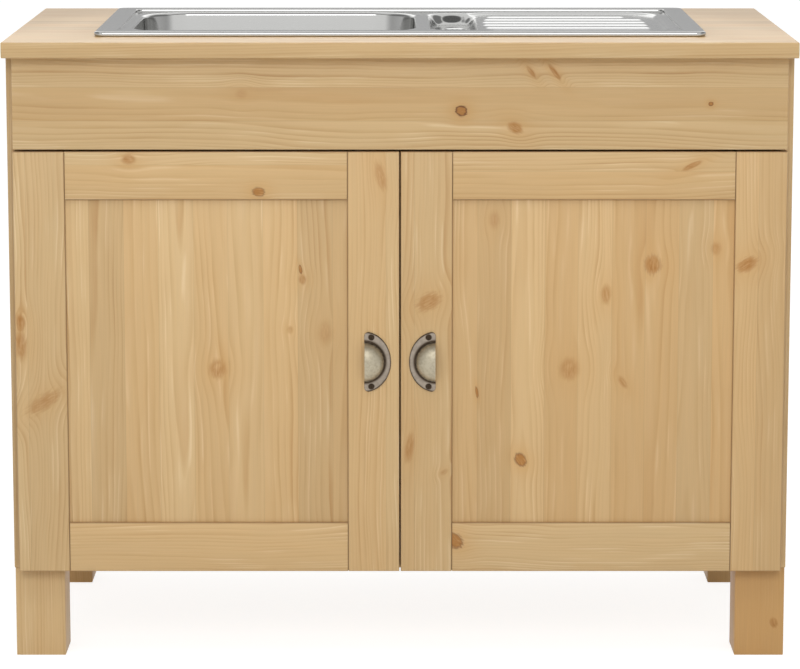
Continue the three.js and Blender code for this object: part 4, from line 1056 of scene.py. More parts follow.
def make_rim(low, high):
    """The rim's upright edge and roll, up to the flat of the rim."""
    sink = bpy.context.scene.cabinet_sink
    middle = middle_of(low, high)
    size = (high.x - low.x, high.y - low.y)
    rim = outline("rim", (middle[0], middle[1], low.z), size, OUTER_RADIUS)
    upright = high.z - low.z - sink.edge_roll
    for rise in (RIM_TUCK, upright - RIM_TUCK):
        bpy.ops.mesh.extrude_region_move(TRANSFORM_OT_translate={"value": (0, 0, rise)})
    rolled = [(inwards, -down) for inwards, down in bend(sink.edge_roll, 90, 0, 6)]
    press([*rolled, (FLAT_RING, 0)])
    open_faces(rim, lambda place, normal: abs(place.z - low.z) < 0.01 * MM)
    bpy.ops.transform.resize(
        value=[1 - 2 * RIM_TUCK / size[0], 1 - 2 * RIM_TUCK / size[1], 1],
        center_override=(middle[0], middle[1], low.z),
    )
    bpy.ops.mesh.delete(type="ONLY_FACE")
    leave()
    return rim


def make_step(low, high):
    """The step from the rim down to the deck."""
    sink = bpy.context.scene.cabinet_sink
    middle = middle_of(low, high)
    grow = FLAT_RING - sink.rim
    size = (high.x - low.x + 2 * grow, high.y - low.y + 2 * grow)
    step = outline("step", (middle[0], middle[1], high.z), size, DECK_RADIUS + FLAT_RING)
    down = bend(sink.step_roll, 0, STEP_SLOPE, 5)
    up = bend(sink.step_roll, STEP_SLOPE, 0, 5)
    rest = DECK_STEP - sum(z for _, z in down + up)
    straight = (rest / math.tan(math.radians(STEP_SLOPE)), rest)
    press([(FLAT_RING, 0), *down, straight, *up, (FLAT_RING, 0)])
    return step


def make_bowl(low, high, deck):
    """The bowl, from the deck down to its floor."""
    sink = bpy.context.scene.cabinet_sink
    middle = middle_of(low, high)
    floor = low.z + sink.sheet
    grow = FLAT_RING
    size = (high.x - low.x + 2 * grow, high.y - low.y + 2 * grow)
    bowl = outline("bowl", (middle[0], middle[1], deck), size, BOWL_RADIUS + grow, 20)
    lip = bend(sink.bowl_roll, 0, BOWL_SLOPE, 8)
    foot = bend(sink.floor_roll, BOWL_SLOPE, 0, 12)
    rest = deck - floor - sum(z for _, z in lip + foot)
    wall = (rest / math.tan(math.radians(BOWL_SLOPE)), rest)
    press([(FLAT_RING, 0), *lip, wall, *foot, (FLAT_RING, 0)])
    return bowl


def make_waste_ring(low, high):
    """The edge of the waste hole in the bowl's floor."""
    sink = bpy.context.scene.cabinet_sink
    middle = middle_of(low, high)
    deselect()
    bpy.ops.mesh.primitive_circle_add(
        vertices=64, radius=WASTE_HOLE_RADIUS + FLAT_RING, fill_type="NGON",
        location=(middle[0], middle[1], low.z + sink.sheet),
    )
    ring = begin("waste_ring")
    edit(ring, "FACE")
    bpy.ops.mesh.select_all(action="SELECT")
    press([(FLAT_RING, 0)])
    return ring


def eased(value):
    """Rises from 0 to 1 along a half wave."""
    return 0.5 - 0.5 * math.cos(math.pi * min(max(value, 0.0), 1.0))


def inside(x, y, middle, size, radius):
    """How far a point lies inside a rectangle with round corners."""
    dx = abs(x - middle[0]) - size[0] / 2 + radius
    dy = abs(y - middle[1]) - size[1] / 2 + radius
    return radius - math.hypot(max(dx, 0), max(dy, 0)) - min(max(dx, dy), 0)


def drainer_depth(x, y, dish, rib_height, rib_reach):
    """Depth of the pressed tray, dish and ribs below the deck."""
    tray_middle = ((TRAY_LEFT + TRAY_RIGHT) / 2, (TRAY_FRONT + TRAY_REAR) / 2)
    tray_size = (TRAY_RIGHT - TRAY_LEFT, TRAY_REAR - TRAY_FRONT)
    tray = eased(inside(x, y, tray_middle, tray_size, TRAY_RADIUS) / TRAY_EDGE)
    bowl = eased(
        (inside(x, y, dish, (DISH_WIDTH, DISH_LENGTH), DISH_WIDTH / 2 - MM) + 2 * MM) / DISH_EDGE)
    from_middle = y - tray_middle[1]
    nearest = round(from_middle / RIB_PITCH - 0.5) + 0.5
    nearest = min(max(nearest, 0.5 - RIB_COUNT / 2), RIB_COUNT / 2 - 0.5)
    crest = 1 - eased(abs(from_middle - nearest * RIB_PITCH) / rib_reach)
    row = nearest / (RIB_COUNT / 2 - 0.5)
    left = RIB_LEFT + RIB_LEFT_DRAW * row * row
    right = RIB_RIGHT - RIB_RIGHT_DRAW * eased((row - 0.5) / 0.5)
    ends = eased((x - left) / RIB_END) * eased((right - x) / RIB_END)
    return bowl * DISH_DEPTH + (1 - bowl) * tray * (TRAY_DEPTH - rib_height * crest * ends)


def spaced(first, last, step):
    """Evenly spaced places from the first up to the last, without the last."""
    count = max(1, round((last - first) / step))
    return [first + (last - first) * i / count for i in range(count)]


def make_drainer(deck, dish):
    """The ribbed tray and the small dish: a fine grid pressed to their depth."""
    sink = bpy.context.scene.cabinet_sink
    margin = 4 * MM
    left = dish[0] - DISH_WIDTH / 2 - margin
    across = [
        *spaced(left, PLAIN_LEFT, FINE_STEP),
        *spaced(PLAIN_LEFT, PLAIN_RIGHT, COARSE_STEP),
        *spaced(PLAIN_RIGHT, TRAY_RIGHT + margin, FINE_STEP),
        TRAY_RIGHT + margin,
    ]
    rows = [*spaced(TRAY_FRONT - margin, TRAY_REAR + margin, ROW_STEP), TRAY_REAR + margin]
    deselect()
    bpy.ops.mesh.primitive_grid_add(
        x_subdivisions=len(across) - 1, y_subdivisions=len(rows) - 1, size=1)
    tray = begin("drainer")
    for point in tray.data.vertices:
        x = across[round((point.co.x + 0.5) * (len(across) - 1))]
        y = rows[round((point.co.y + 0.5) * (len(rows) - 1))]
        depth = drainer_depth(x, y, dish, sink.rib_height, sink.rib_reach)
        point.co = (x, y, deck - depth)
    return tray


def make_sink():
    """The whole sink from one sheet: rim, step, deck, bowl, drainer and dish."""
    sink = bpy.context.scene.cabinet_sink
    low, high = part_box("sink_top")
    low.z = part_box("worktop")[1].z + 0.3 * MM
    bowl_low, bowl_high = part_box("sink_bowl")
    deck = high.z - DECK_STEP
    dish_low, dish_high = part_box("dish_waste")
    dish = (bowl_high.x - sink.sheet + DISH_GAP + DISH_WIDTH / 2, (bowl_low.y + bowl_high.y) / 2)
    sheet = join("pressed_sink", [
        make_rim(low, high),
        make_step(low, high),
        make_bowl(bowl_low, bowl_high, deck),
        make_waste_ring(bowl_low, bowl_high),
        make_drainer(deck, dish),
    ])
    open_rims(sheet, high.z)
    bpy.ops.mesh.bridge_edge_loops()
    leave()
    for level in (deck, bowl_low.z + sink.sheet):
        open_rims(sheet, level, 0.02 * MM)
        if level == bowl_low.z + sink.sheet:
            drop_inner_edge(sheet, middle_of(bowl_low, bowl_high))
        bpy.ops.mesh.fill(use_beauty=True)
        leave()
    edit(sheet, "FACE")
    bpy.ops.mesh.select_all(action="SELECT")
    bpy.ops.mesh.remove_doubles(threshold=0.01 * MM)
    bpy.ops.mesh.normals_make_consistent(inside=False)
    leave()
    flats = [f.normal.z for f in sheet.data.polygons if abs(f.center.z - deck) < 0.01 * MM]
    if sum(flats) < 0:
        sheet.data.flip_normals()
    apply_modifier(sheet, "SOLIDIFY", thickness=sink.sheet, offset=-1, use_even_offset=True)
    drain = middle_of(dish_low, dish_high)
    deselect()
    bpy.ops.mesh.primitive_cylinder_add(
        vertices=48, radius=DISH_DRAIN_RADIUS, depth=10 * MM,
        location=(drain[0], drain[1], deck - DISH_DEPTH))
    combine(sheet, begin("drain_hole"))
    smooth(sheet)
    return sheet


def drop_inner_edge(sheet, middle):
    """Leaves the edge of the waste hole out of the selection."""
    leave()
    mesh = sheet.data
    for edge in mesh.edges:
        if edge.select:
            place = (mesh.vertices[edge.vertices[0]].co + mesh.vertices[edge.vertices[1]].co) / 2
            reach = math.hypot(place.x - middle[0], place.y - middle[1])
            edge.select = reach > WASTE_HOLE_RADIUS + FLAT_RING / 2
    for point in mesh.vertices:
        point.select = False
    edit(sheet, "EDGE")


# ---------------------------------------------------------------- waste and pipes

def drill_ring(name, middle, low, high, ring, radius, count):
    """A ring of drills, for cutting a ring of holes."""
    drills = []
    for number in range(count):
        angle = 2 * math.pi * number / count
        deselect()
        bpy.ops.mesh.primitive_cylinder_add(
            vertices=16, radius=radius, depth=high - low,
            location=(
                middle[0] + ring * math.cos(angle),
                middle[1] + ring * math.sin(angle),
                (low + high) / 2,
            ),
        )
        drills.append(begin(f"{name}_{number}"))
    return join(name, drills)


def make_flange(material):
    low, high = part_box("waste_flange")
    middle = middle_of(low, high)
    outer = (high.x - low.x) / 2
    tube, wall = 44.5 * MM, 1.5 * MM
    floor = high.z - wall
    flange = turned("waste_flange_ring", (middle[0], middle[1], 0), [
        (tube - wall, low.z),
        (tube, low.z),
        (tube, floor),
        (outer, floor),
        (outer, floor + 0.3 * MM),
        (outer - 2 * MM, high.z),
        (tube + 2 * MM, high.z),
        (tube, high.z - 0.3 * MM),
        (tube - 1.1 * MM, high.z - 1.2 * MM),
        (tube - wall, high.z - 2.5 * MM),
        (tube - wall, low.z),
    ], segments=96)
    smooth(flange, 50)
    settle(flange, "cabinet", "steel", material, "waste_flange")


def make_basket(material):
    low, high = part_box("strainer_basket")
    middle = middle_of(low, high)
    rim = (high.x - low.x) / 2
    wall = 1.2 * MM
    seat = low.z + 24 * MM
    cup, foot = rim - 3 * MM, rim - 14 * MM
    knob, stem = 8 * MM, 3 * MM
    basket = turned("strainer_basket_cup", (middle[0], middle[1], 0), [
        (foot - 2 * MM, low.z),
        (foot, low.z + 1 * MM),
        (cup, seat),
        (rim, seat),
        (rim, seat + wall * 0.6),
        (rim - wall * 0.5, seat + wall),
        (cup, seat + wall),
        (cup - wall, seat + wall * 0.4),
        (foot - wall, low.z + 2 * wall),
        (foot - 3 * wall, low.z + wall),
        (stem + 2 * MM, low.z + wall),
        (stem, low.z + 3 * MM),
        (stem, seat - 6 * MM),
        (knob - MM, seat - 5 * MM),
        (knob, seat - 3 * MM),
        (knob, seat - MM),
        (knob - 1.5 * MM, seat + 0.3 * MM),
        (1 * MM, high.z),
    ], segments=96)
    for ring, radius, count in ((12 * MM, 1.9 * MM, 8), (19 * MM, 2.1 * MM, 14)):
        combine(basket, drill_ring(
            "drills", middle, low.z - 2 * MM, low.z + 3 * wall, ring, radius, count))
    smooth(basket, 50)
    settle(basket, "strainer", "steel", material, "strainer_basket")


def make_waste_body(material):
    low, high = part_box("waste_body")
    middle = middle_of(low, high)
    outer = (high.x - low.x) / 2
    bore, wall, tail = 45.5 * MM, 2.5 * MM, 20 * MM
    foot = high.z - 48 * MM
    body = turned("waste_body_shell", (middle[0], middle[1], 0), [
        (bore, high.z),
        (outer - MM, high.z),
        (outer, high.z - MM),
        (outer, high.z - 7 * MM),
        (outer - MM, high.z - 8 * MM),
        (bore + wall, high.z - 8 * MM),
        (bore + wall, foot + 6 * MM),
        (bore - 2 * MM, foot - MM),
        (tail + 3 * MM, foot - 11 * MM),
        (tail, foot - 14 * MM),
        (tail, low.z),
        (tail - wall, low.z),
        (tail - wall, foot - 10 * MM),
        (bore - 3 * MM, foot + wall),
        (bore, foot + 8 * MM),
        (bore, high.z),
    ])
    smooth(body)
    settle(body, "cabinet", "white_plastic", material, "waste_body")


def make_dish_waste(material, metal):
    low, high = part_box("dish_waste")
    middle = middle_of(low, high)
    collar = (high.x - low.x) / 2
    body = turned("dish_waste_body", (middle[0], middle[1], 0), [
        (14 * MM, low.z),
        (17 * MM, low.z),
        (17 * MM, high.z - 6 * MM),
        (collar - MM, high.z - 6 * MM),
        (collar, high.z - 5 * MM),
        (collar, high.z),
        (4 * MM, high.z),
    ])
    smooth(body)
    settle(body, "cabinet", "white_plastic", material, "dish_waste")

    # the little strainer that shows in the dish
    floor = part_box("sink_top")[1].z - DECK_STEP - DISH_DEPTH
    plate = turned("dish_strainer", (middle[0], middle[1], 0), [
        (13 * MM, floor - 0.5 * MM),
        (13 * MM, floor + 0.3 * MM),
        (17.5 * MM, floor + 0.3 * MM),
        (17 * MM, floor + 1.1 * MM),
        (14 * MM, floor + 1.3 * MM),
        (11 * MM, floor + 0.4 * MM),
        (1 * MM, floor + 0.3 * MM),
    ])
    drills = drill_ring(
        "drills", middle, floor - 2 * MM, floor + 3 * MM, 7 * MM, 1.8 * MM, 6)
    combine(plate, drills)
    smooth(plate, 50)
    settle(plate, "cabinet", "steel", metal)


GRIP_TURN = 360 / 64  # one face of a turned nut, in degrees


def grip(piece, low, high, radius, depth):
    """Raises every other face of a nut, for fingers to grip."""
    middle = middle_of(piece.bound_box[0], piece.bound_box[6])

    def on_nut(place, normal):
        if abs(normal.z) > 0.1 or not low < place.z < high:
            return False
        x, y = place.x - middle[0], place.y - middle[1]
        if math.hypot(x, y) < radius * 0.98:
            return False
        return round(math.degrees(math.atan2(y, x)) / GRIP_TURN - 0.5) % 2 == 0

    open_faces(piece, on_nut)
    bpy.ops.mesh.extrude_region_shrink_fatten(
        TRANSFORM_OT_shrink_fatten={"value": depth, "use_even_offset": False})
    leave()


def make_trap(material):
    low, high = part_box("trap_bottle")
    middle = middle_of(low, high)
    nut = (high.x - low.x) / 2 - 0.7 * MM
    body = nut - 2.3 * MM
    nut_top, nut_foot = high.z - 8 * MM, high.z - 28 * MM
    bottle = turned("trap_bottle_shell", (middle[0], middle[1], 0), [
        (22 * MM, low.z),
        (body - 5 * MM, low.z + 4 * MM),
        (body - 1 * MM, low.z + 10 * MM),
        (body, low.z + 14 * MM),
        (body, low.z + 40 * MM),
        (body + MM, low.z + 41 * MM),
        (body + MM, low.z + 44 * MM),
        (body, low.z + 45 * MM),
        (body, nut_foot),
        (nut, nut_foot),
        (nut, nut_top),
        (nut - 4 * MM, nut_top + 3 * MM),
        (24.5 * MM, high.z),
    ])
    grip(bottle, nut_foot, nut_top, nut, 0.6 * MM)
    smooth(bottle)
    settle(bottle, "cabinet", "white_plastic", material, "trap_bottle")

    low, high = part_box("trap_outlet_pipe")
    middle = middle_of(low, high)
    radius = (high.x - low.x) / 2
    wall = 2 * MM
    pipe = turned("trap_outlet_tube", (middle[0], 0, middle[2]), [
        (radius, low.y),
        (radius, low.y + 26 * MM),
        (radius - MM, low.y + 27 * MM),
        (radius - MM, high.y - 3 * MM),
        (radius, high.y - 2 * MM),
        (radius, high.y),
        (radius - wall, high.y),
        (radius - wall, high.y - 60 * MM),
    ], axis="Y")
    smooth(pipe)
    settle(pipe, "cabinet", "white_plastic", material, "trap_outlet_pipe")


TUBE_RADIUS = 11 * MM
TUBE_TURN = 60 * MM  # radius of the tube's bend
TUBE_STEP = 1.6 * MM  # between two points of the tube
BEND_STEPS = 58
TO_WASTE = 49 * MM  # waste body's middle to the tube's end
PLAIN_POINTS = 8  # points without bellows at each end
FOLD_POINTS = 4  # points in one fold, of which half are drawn in
FOLD_WAIST = 0.86


def make_overflow_tube(material):
    """The bellows tube from the dish's waste to the waste body."""
    low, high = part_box("overflow_tube")
    waste = middle_of(*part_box("waste_body"))
    dish = middle_of(*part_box("dish_waste"))
    level = low.z + TUBE_RADIUS
    corner = Vector((dish[0], dish[1], level))
    along = Vector((waste[0] - dish[0], waste[1] - dish[1], 0)).normalized()
    reach = math.hypot(waste[0] - dish[0], waste[1] - dish[1]) - TO_WASTE
    path = []
    start = Vector((dish[0], dish[1], high.z))
    straight = start.z - level - TUBE_TURN
    for number in range(int(straight / TUBE_STEP)):
        path.append(start - Vector((0, 0, number * TUBE_STEP)))
    bend_start = corner + Vector((0, 0, TUBE_TURN))
    bend_end = corner + along * TUBE_TURN
    for number in range(BEND_STEPS):
        t = number / BEND_STEPS
        path.append((1 - t) ** 2 * bend_start + 2 * t * (1 - t) * corner + t * t * bend_end)
    rest = reach - TUBE_TURN
    for number in range(int(rest / TUBE_STEP) + 1):
        path.append(bend_end + along * number * TUBE_STEP)
    curve = bpy.data.curves.new("overflow_bellows", "CURVE")
    curve.dimensions = "3D"
    curve.bevel_depth = TUBE_RADIUS
    curve.bevel_resolution = 5
    curve.use_fill_caps = True
    spline = curve.splines.new("POLY")
    spline.points.add(len(path) - 1)
    for number, (point, place) in enumerate(zip(spline.points, path)):
        point.co = (*place, 1)
        at_end = min(number, len(path) - 1 - number) < PLAIN_POINTS
        point.radius = 1.0 if at_end or number % FOLD_POINTS < FOLD_POINTS / 2 else FOLD_WAIST
    tube = bpy.data.objects.new("overflow_bellows", curve)
    bpy.context.scene.collection.objects.link(tube)
    take(tube)
    bpy.ops.object.convert(target="MESH")
    tube = bpy.context.active_object
    edit(tube)
    bpy.ops.mesh.select_all(action="SELECT")
    bpy.ops.mesh.remove_doubles(threshold=0.01 * MM)
    bpy.ops.mesh.normals_make_consistent(inside=False)
    leave()
    smooth(tube, 50)
    settle(tube, "cabinet", "white_plastic", material, "overflow_tube")


# ---------------------------------------------------------------- the pulls

PULL_LENGTH = 86 * MM  # before its corners are rounded
PULL_CORNER = 6 * MM
CUP_LENGTH, CUP_WIDTH = 57 * MM, 28.5 * MM
CUP_MOUTH = 0.5 * MM  # mouth of the cup inside the flange's straight edge
SCREW_RADIUS = 3.2 * MM
SCREW_INSET = 10 * MM  # from the flange's straight edge
SCREW_SPACING = 70 * MM
SEAT_RADIUS = 3.6 * MM  # dark ring round a screw's head


def ball(name, middle, size):
    deselect()
    bpy.ops.mesh.primitive_uv_sphere_add(segments=96, ring_count=48, radius=1, location=middle)
    return begin(name, size)


def make_pull(low, high):
    """The left cup pull: a flange with a hollow half dome, open on its straight side."""
    pulls = bpy.context.scene.cabinet_pulls
    edge, width, half = low.x, high.x - low.x, PULL_LENGTH / 2
    level = (high.z + low.z) / 2
    back, front = high.y, low.y
    shoulder = half * math.sin(math.acos(PULL_CORNER / width))  # where corner meets oval
    pull = rounded_block(
        "cup_pull",
        (edge, back - pulls.flange, level - shoulder),
        (edge + width + PULL_CORNER, back, level + shoulder),
        PULL_CORNER,
        "Y",
    )
    deselect()
    bpy.ops.mesh.primitive_cylinder_add(
        vertices=144, radius=1, depth=10 * MM, location=(edge, back, level),
        rotation=(math.pi / 2, 0, 0),
    )
    combine(pull, begin("oval", (width, half, 1)), "INTERSECT")
    soften(pull, 0.7 * MM, 3, 60)

    mouth = edge + CUP_MOUTH
    size = (CUP_WIDTH, back - front, CUP_LENGTH / 2)
    dome = ball("dome", (mouth, back, level), size)
    root = (mouth + 0.02 * MM, back - pulls.flange / 4, level)  # inside the flange
    edit(dome, "FACE")
    for normal in ((1, 0, 0), (0, -1, 0)):
        bpy.ops.mesh.select_all(action="SELECT")
        bpy.ops.mesh.bisect(plane_co=root, plane_no=normal, clear_inner=True, use_fill=True)
    leave()
    combine(pull, dome, "UNION")
    off = 0.15 * MM  # keeps the hollow's points off the flange's own faces
    combine(pull, ball(
        "hollow", (mouth - off, back + off, level), [value - pulls.wall + off for value in size]))
    gap = CUP_LENGTH / 2 - pulls.wall
    combine(pull, block(
        "mouth",
        (edge - 2 * MM, back - pulls.flange - MM, level - gap),
        (mouth + 0.01 * MM, back + 2 * MM, level + gap),
        0,
    ))
    soften(pull, 0.35 * MM, 2, 50)
    smooth(pull, 40)
    return pull


def make_screw(low, high):
    """A round-headed screw with a cross recess."""
    middle = middle_of(low, high)
    seat = low.y + 1.6 * MM
    screw = turned("pull_screw", (middle[0], 0, middle[2]), [
        (1.6 * MM, high.y),
        (1.6 * MM, seat),
        (SCREW_RADIUS, seat),
        (SCREW_RADIUS, seat - 0.45 * MM),
        (SCREW_RADIUS * 0.92, seat - 0.9 * MM),
        (SCREW_RADIUS * 0.7, seat - 1.3 * MM),
        (SCREW_RADIUS * 0.35, seat - 1.55 * MM),
        (0.2 * MM, low.y),
    ], axis="Y", segments=32)
    arm, slot = 1.9 * MM, 0.42 * MM
    for across, up in ((arm, slot), (slot, arm)):
        combine(screw, block(
            "recess",
            (middle[0] - across, low.y - MM, middle[2] - up),
            (middle[0] + across, low.y + 1.1 * MM, middle[2] + up),
            0,
        ))
    smooth(screw)
    return screw


def aged_metal(name, middle, size, worn):
    """Antiqued casting: pewter rubbed bright where hands reach, its dark patina left in the
    recesses, where the cup meets the flange and round the edge. Its mottling is 4 mm wide."""
    pulls = bpy.context.scene.cabinet_pulls
    material, tree = new_material(name)
    place = add_node(tree, COORDINATES, out="Object")
    axes = add_node(tree, SEPARATE, (place,), None)
    # the right pull mirrors the left one, so both are read from the cabinet's middle
    across = add_node(tree, MATH, (axes[0],), operation="ABSOLUTE")
    across = add_node(tree, MATH, (abs(middle[0]), across), operation="SUBTRACT")
    up = add_node(tree, MATH, (axes[2], middle[2]), operation="SUBTRACT")
    spot = add_node(tree, COMBINE, (across, up))
    blur = add_node(tree, NOISE, {"Vector": place, "Scale": 1 / (4 * MM), "Detail": 3.0})
    rubbed = add_node(tree, MATH, (blur, 0.5), operation="SUBTRACT")
    cup = (CUP_WIDTH, CUP_LENGTH / 2, 1)
    on_cup = add_node(tree, VECTOR_MATH, (spot, cup), operation="DIVIDE")
    on_cup = add_node(tree, VECTOR_MATH, (on_cup,), "Value", operation="LENGTH")
    on_cup = add_node(tree, MAP_RANGE, {"Value": on_cup, "From Min": 1.02, "From Max": 0.96})

    # ovals that carry a dark line: middle, half sizes, line's place and width as shares of the
    # oval, and how uneven it is
    cup_foot = ((0, 0, 0), cup, 1.03, 0.075, 0.08)
    outer_edge = ((0, 0, 0), (size[0], size[1] / 2, 1), 1.0, 0.03, 0.0)
    seats = [
        ((SCREW_INSET, end * SCREW_SPACING / 2, 0), (SEAT_RADIUS, SEAT_RADIUS, 1), 1.0, 0.25, 0.0)
        for end in (-1, 1)
    ]
    dark = worn
    for centre, half, line, reach, uneven in (cup_foot, outer_edge, *seats):
        oval = add_node(tree, VECTOR_MATH, (spot, centre), operation="SUBTRACT")
        oval = add_node(tree, VECTOR_MATH, (oval, half), operation="DIVIDE")
        oval = add_node(tree, VECTOR_MATH, (oval,), "Value", operation="LENGTH")
        away = add_node(tree, MATH, (rubbed, uneven, oval), operation="MULTIPLY_ADD")
        away = add_node(tree, MATH, (away, line), operation="SUBTRACT")
        away = add_node(tree, MATH, (away, reach), operation="DIVIDE")
        away = add_node(tree, MATH, (away, away), operation="MULTIPLY")
        away = add_node(tree, MATH, (away, -1.0), operation="MULTIPLY")
        band = add_node(tree, MATH, (away,), operation="EXPONENT")
        dark = add_node(tree, MATH, (dark, band), operation="MAXIMUM")
    dark = add_node(tree, MATH, (rubbed, 0.7, dark), operation="MULTIPLY_ADD")
    dark = add_node(tree, MATH, (dark, 0.08), operation="ADD", use_clamp=True)
    tint = add_node(
        tree, MIX, {0: on_cup, MIX_A: pulls.shade, MIX_B: pulls.pewter}, MIX_RESULT,
        data_type="RGBA")
    share = add_node(tree, MATH, (dark, 0.9), operation="MULTIPLY")
    tint = add_node(
        tree, MIX, {0: share, MIX_A: tint, MIX_B: pulls.patina}, MIX_RESULT, data_type="RGBA")
    rough = add_node(tree, MATH, (dark, 0.2, 0.46), operation="MULTIPLY_ADD")
    bump = add_node(tree, BUMP, {"Strength": 0.25, "Distance": 0.15 * MM, "Height": blur})
    shader = add_node(
        tree, PRINCIPLED, {"Base Color": tint, "Metallic": 1.0, "Roughness": rough, "Normal": bump})
    add_node(tree, OUTPUT, {"Surface": shader}, None)
    return material


def make_pulls():
    low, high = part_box("left_pull")
    middle = (low.x, low.y, (low.z + high.z) / 2)
    size = (high.x - low.x, high.z - low.z)
    casting = aged_metal("antique_pewter", middle, size, 0.0)
    dark = aged_metal("antique_screw", middle, size, 1.0)
    left = make_pull(low, high)
    mirror = Matrix.Scale(-1, 4, (1, 0, 0))
    right = copy_of(left, "right_pull_casting", mirror)
    left.name = "left_pull_casting"
    settle(left, "left_door", "antique_metal", casting, "left_pull")
    settle(right, "right_door", "antique_metal", casting, "right_pull")
    screw_low, screw_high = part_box("left_pull_screw_lower")
    first = make_screw(screw_low, screw_high)
    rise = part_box("left_pull_screw_upper")[0].z - screw_low.z
    moves = {
        ("left", "upper"): Matrix.Translation((0, 0, rise)),
        ("right", "lower"): mirror,
        ("right", "upper"): mirror @ Matrix.Translation((0, 0, rise)),
    }
    screws = {("left", "lower"): first}
    for (side, place), move in moves.items():
        screws[(side, place)] = copy_of(first, f"{side}_pull_screw_{place}_head", move)
    first.name = "left_pull_screw_lower_head"
    for (side, place), screw in screws.items():
        settle(screw, f"{side}_door", "antique_metal", dark, f"{side}_pull_screw_{place}")


# ---------------------------------------------------------------- the stage

def make_camera():
    stage = bpy.context.scene.cabinet_stage
    front = cad_bounds[0][1]
    bpy.ops.object.camera_add(
        location=(0, front - stage.distance, stage.height),
        rotation=(math.pi / 2 - stage.tilt, 0, 0),
    )
    camera = bpy.context.active_object
    camera.data.lens = stage.lens / MM
    camera.data.sensor_width = 36
    camera.data.shift_y = stage.shift
    camera.data.clip_end = 60
    bpy.context.scene.camera = camera


def make_lamp(name, place, target, size, power, mirrored):
    bpy.ops.object.light_add(type="AREA", location=place)
    lamp = bpy.context.active_object
    lamp.name = name
    lamp.rotation_euler = (Vector(target) - Vector(place)).to_track_quat("-Z", "Y").to_euler()
    lamp.data.shape = "RECTANGLE"
    lamp.data.size, lamp.data.size_y = size
    lamp.data.energy = power
    lamp.visible_glossy = mirrored


def seen_directly(tree):
    """1 where the camera, a mirror or glass looks, and 0 where light falls."""
    path = add_node(tree, "ShaderNodeLightPath", out=None)
    seen = add_node(
        tree, MATH, (path["Is Camera Ray"], path["Is Glossy Ray"]), operation="MAXIMUM")
    return add_node(tree, MATH, (seen, path["Is Transmission Ray"]), operation="MAXIMUM")


def make_world():
    """White where the camera or a mirror looks, and an even fill elsewhere."""
    stage = bpy.context.scene.cabinet_stage
    world = bpy.data.worlds.new("studio")
    bpy.context.scene.world = world
    world.use_nodes = True
    tree = world.node_tree
    tree.nodes.clear()
    strength = add_node(
        tree, MAP_RANGE, {"Value": seen_directly(tree), "To Min": stage.fill, "To Max": 1.0})
    back = add_node(
        tree, "ShaderNodeBackground", {"Color": (1, 1, 1, 1), "Strength": strength})
    add_node(tree, "ShaderNodeOutputWorld", {"Surface": back}, None)


def make_floor():
    """A wide pale floor. The camera and mirrors see it lifted to white, with the shadow kept."""
    stage = bpy.context.scene.cabinet_stage
    deselect()
    bpy.ops.mesh.primitive_plane_add(size=40, location=(0, 0, cad_bounds[0][2]))
    floor = begin("studio_floor")
    material, tree = new_material("painted_floor")
    place = add_node(tree, COORDINATES, out="Object")
    grain = add_node(tree, NOISE, {"Vector": place, "Scale": 1 / (3 * MM), "Detail": 2.0})
    bump = add_node(tree, BUMP, {"Strength": 0.05, "Distance": 0.1 * MM, "Height": grain})
    seen = seen_directly(tree)
    lift = add_node(tree, MATH, (seen, stage.lift), operation="MULTIPLY")
    paint = add_node(
        tree, MIX, {0: seen, MIX_A: stage.floor, MIX_B: stage.seen_floor}, MIX_RESULT,
        data_type="RGBA")
    shader = add_node(tree, PRINCIPLED, {
        "Base Color": paint,
        "Roughness": 0.8,
        "Specular IOR Level": 0.1,
        "Normal": bump,
        "Emission Color": (1, 1, 1, 1),
        "Emission Strength": lift,
    })
    add_node(tree, OUTPUT, {"Surface": shader}, None)
    floor.data.materials.append(material)


# Cards that only reflections see, as a product photographer stands round polished steel: name,
# width and height, middle, turn, and how bright the middle is. The edges fade into the white room.
CARDS = [
    ("rear_card", (24, 2.3), (0, 7, 1.1), (90, 0, 0), 0.42),
    ("rear_strip", (9, 4.0), (0, 7, 4.0), (90, 0, 0), 1.5),
    ("front_card", (9, 2.4), (0, -1.6, 4.0), (0, 0, 0), 0.15),
    ("left_card", (8, 6), (-3.6, 1, 3.4), (90, 0, 90), 0.26),
    ("right_card", (8, 6), (3.6, 1, 3.4), (90, 0, 90), 0.26),
]


def make_card(name, size, middle, turn, level):
    """One card, fading at its edges."""
    deselect()
    bpy.ops.mesh.primitive_plane_add(
        size=1, location=middle, rotation=[math.radians(angle) for angle in turn])
    card = begin(name, (*size, 1))
    material, tree = new_material(f"{name}_paper")
    place = add_node(tree, COORDINATES, out="UV")
    across = add_node(tree, SEPARATE, (place,), None)
    inner = 1.0
    for axis in (0, 1):
        away = add_node(tree, MATH, (across[axis], 0.5), operation="SUBTRACT")
        away = add_node(tree, MATH, (away,), operation="ABSOLUTE")
        near = add_node(
            tree, MAP_RANGE, {"Value": away, "From Min": 0.5, "From Max": 0.25},
            interpolation_type="SMOOTHSTEP")
        inner = add_node(tree, MATH, (inner, near), operation="MULTIPLY")
    strength = add_node(tree, MAP_RANGE, {"Value": inner, "To Min": 1.0, "To Max": level})
    light = add_node(tree, "ShaderNodeEmission", {"Strength": strength})
    add_node(tree, OUTPUT, {"Surface": light}, None)
    card.data.materials.append(material)
    card.visible_camera = False
    card.visible_diffuse = False
    card.visible_shadow = False


# ---------------------------------------------------------------- operators and panel

# Softboxes: name, place, what they point at, size, the property with their power, and whether
# polished metal shows them.
SOFTBOXES = [
    ("overhead_softbox", (0, -1.1, 3.4), (0, 0, 0.6), (3.2, 1.8), "overhead", False),
    ("front_softbox", (-0.4, -5.4, 3.6), (0, 0, 0.5), (5.0, 2.2), "front", True),
]


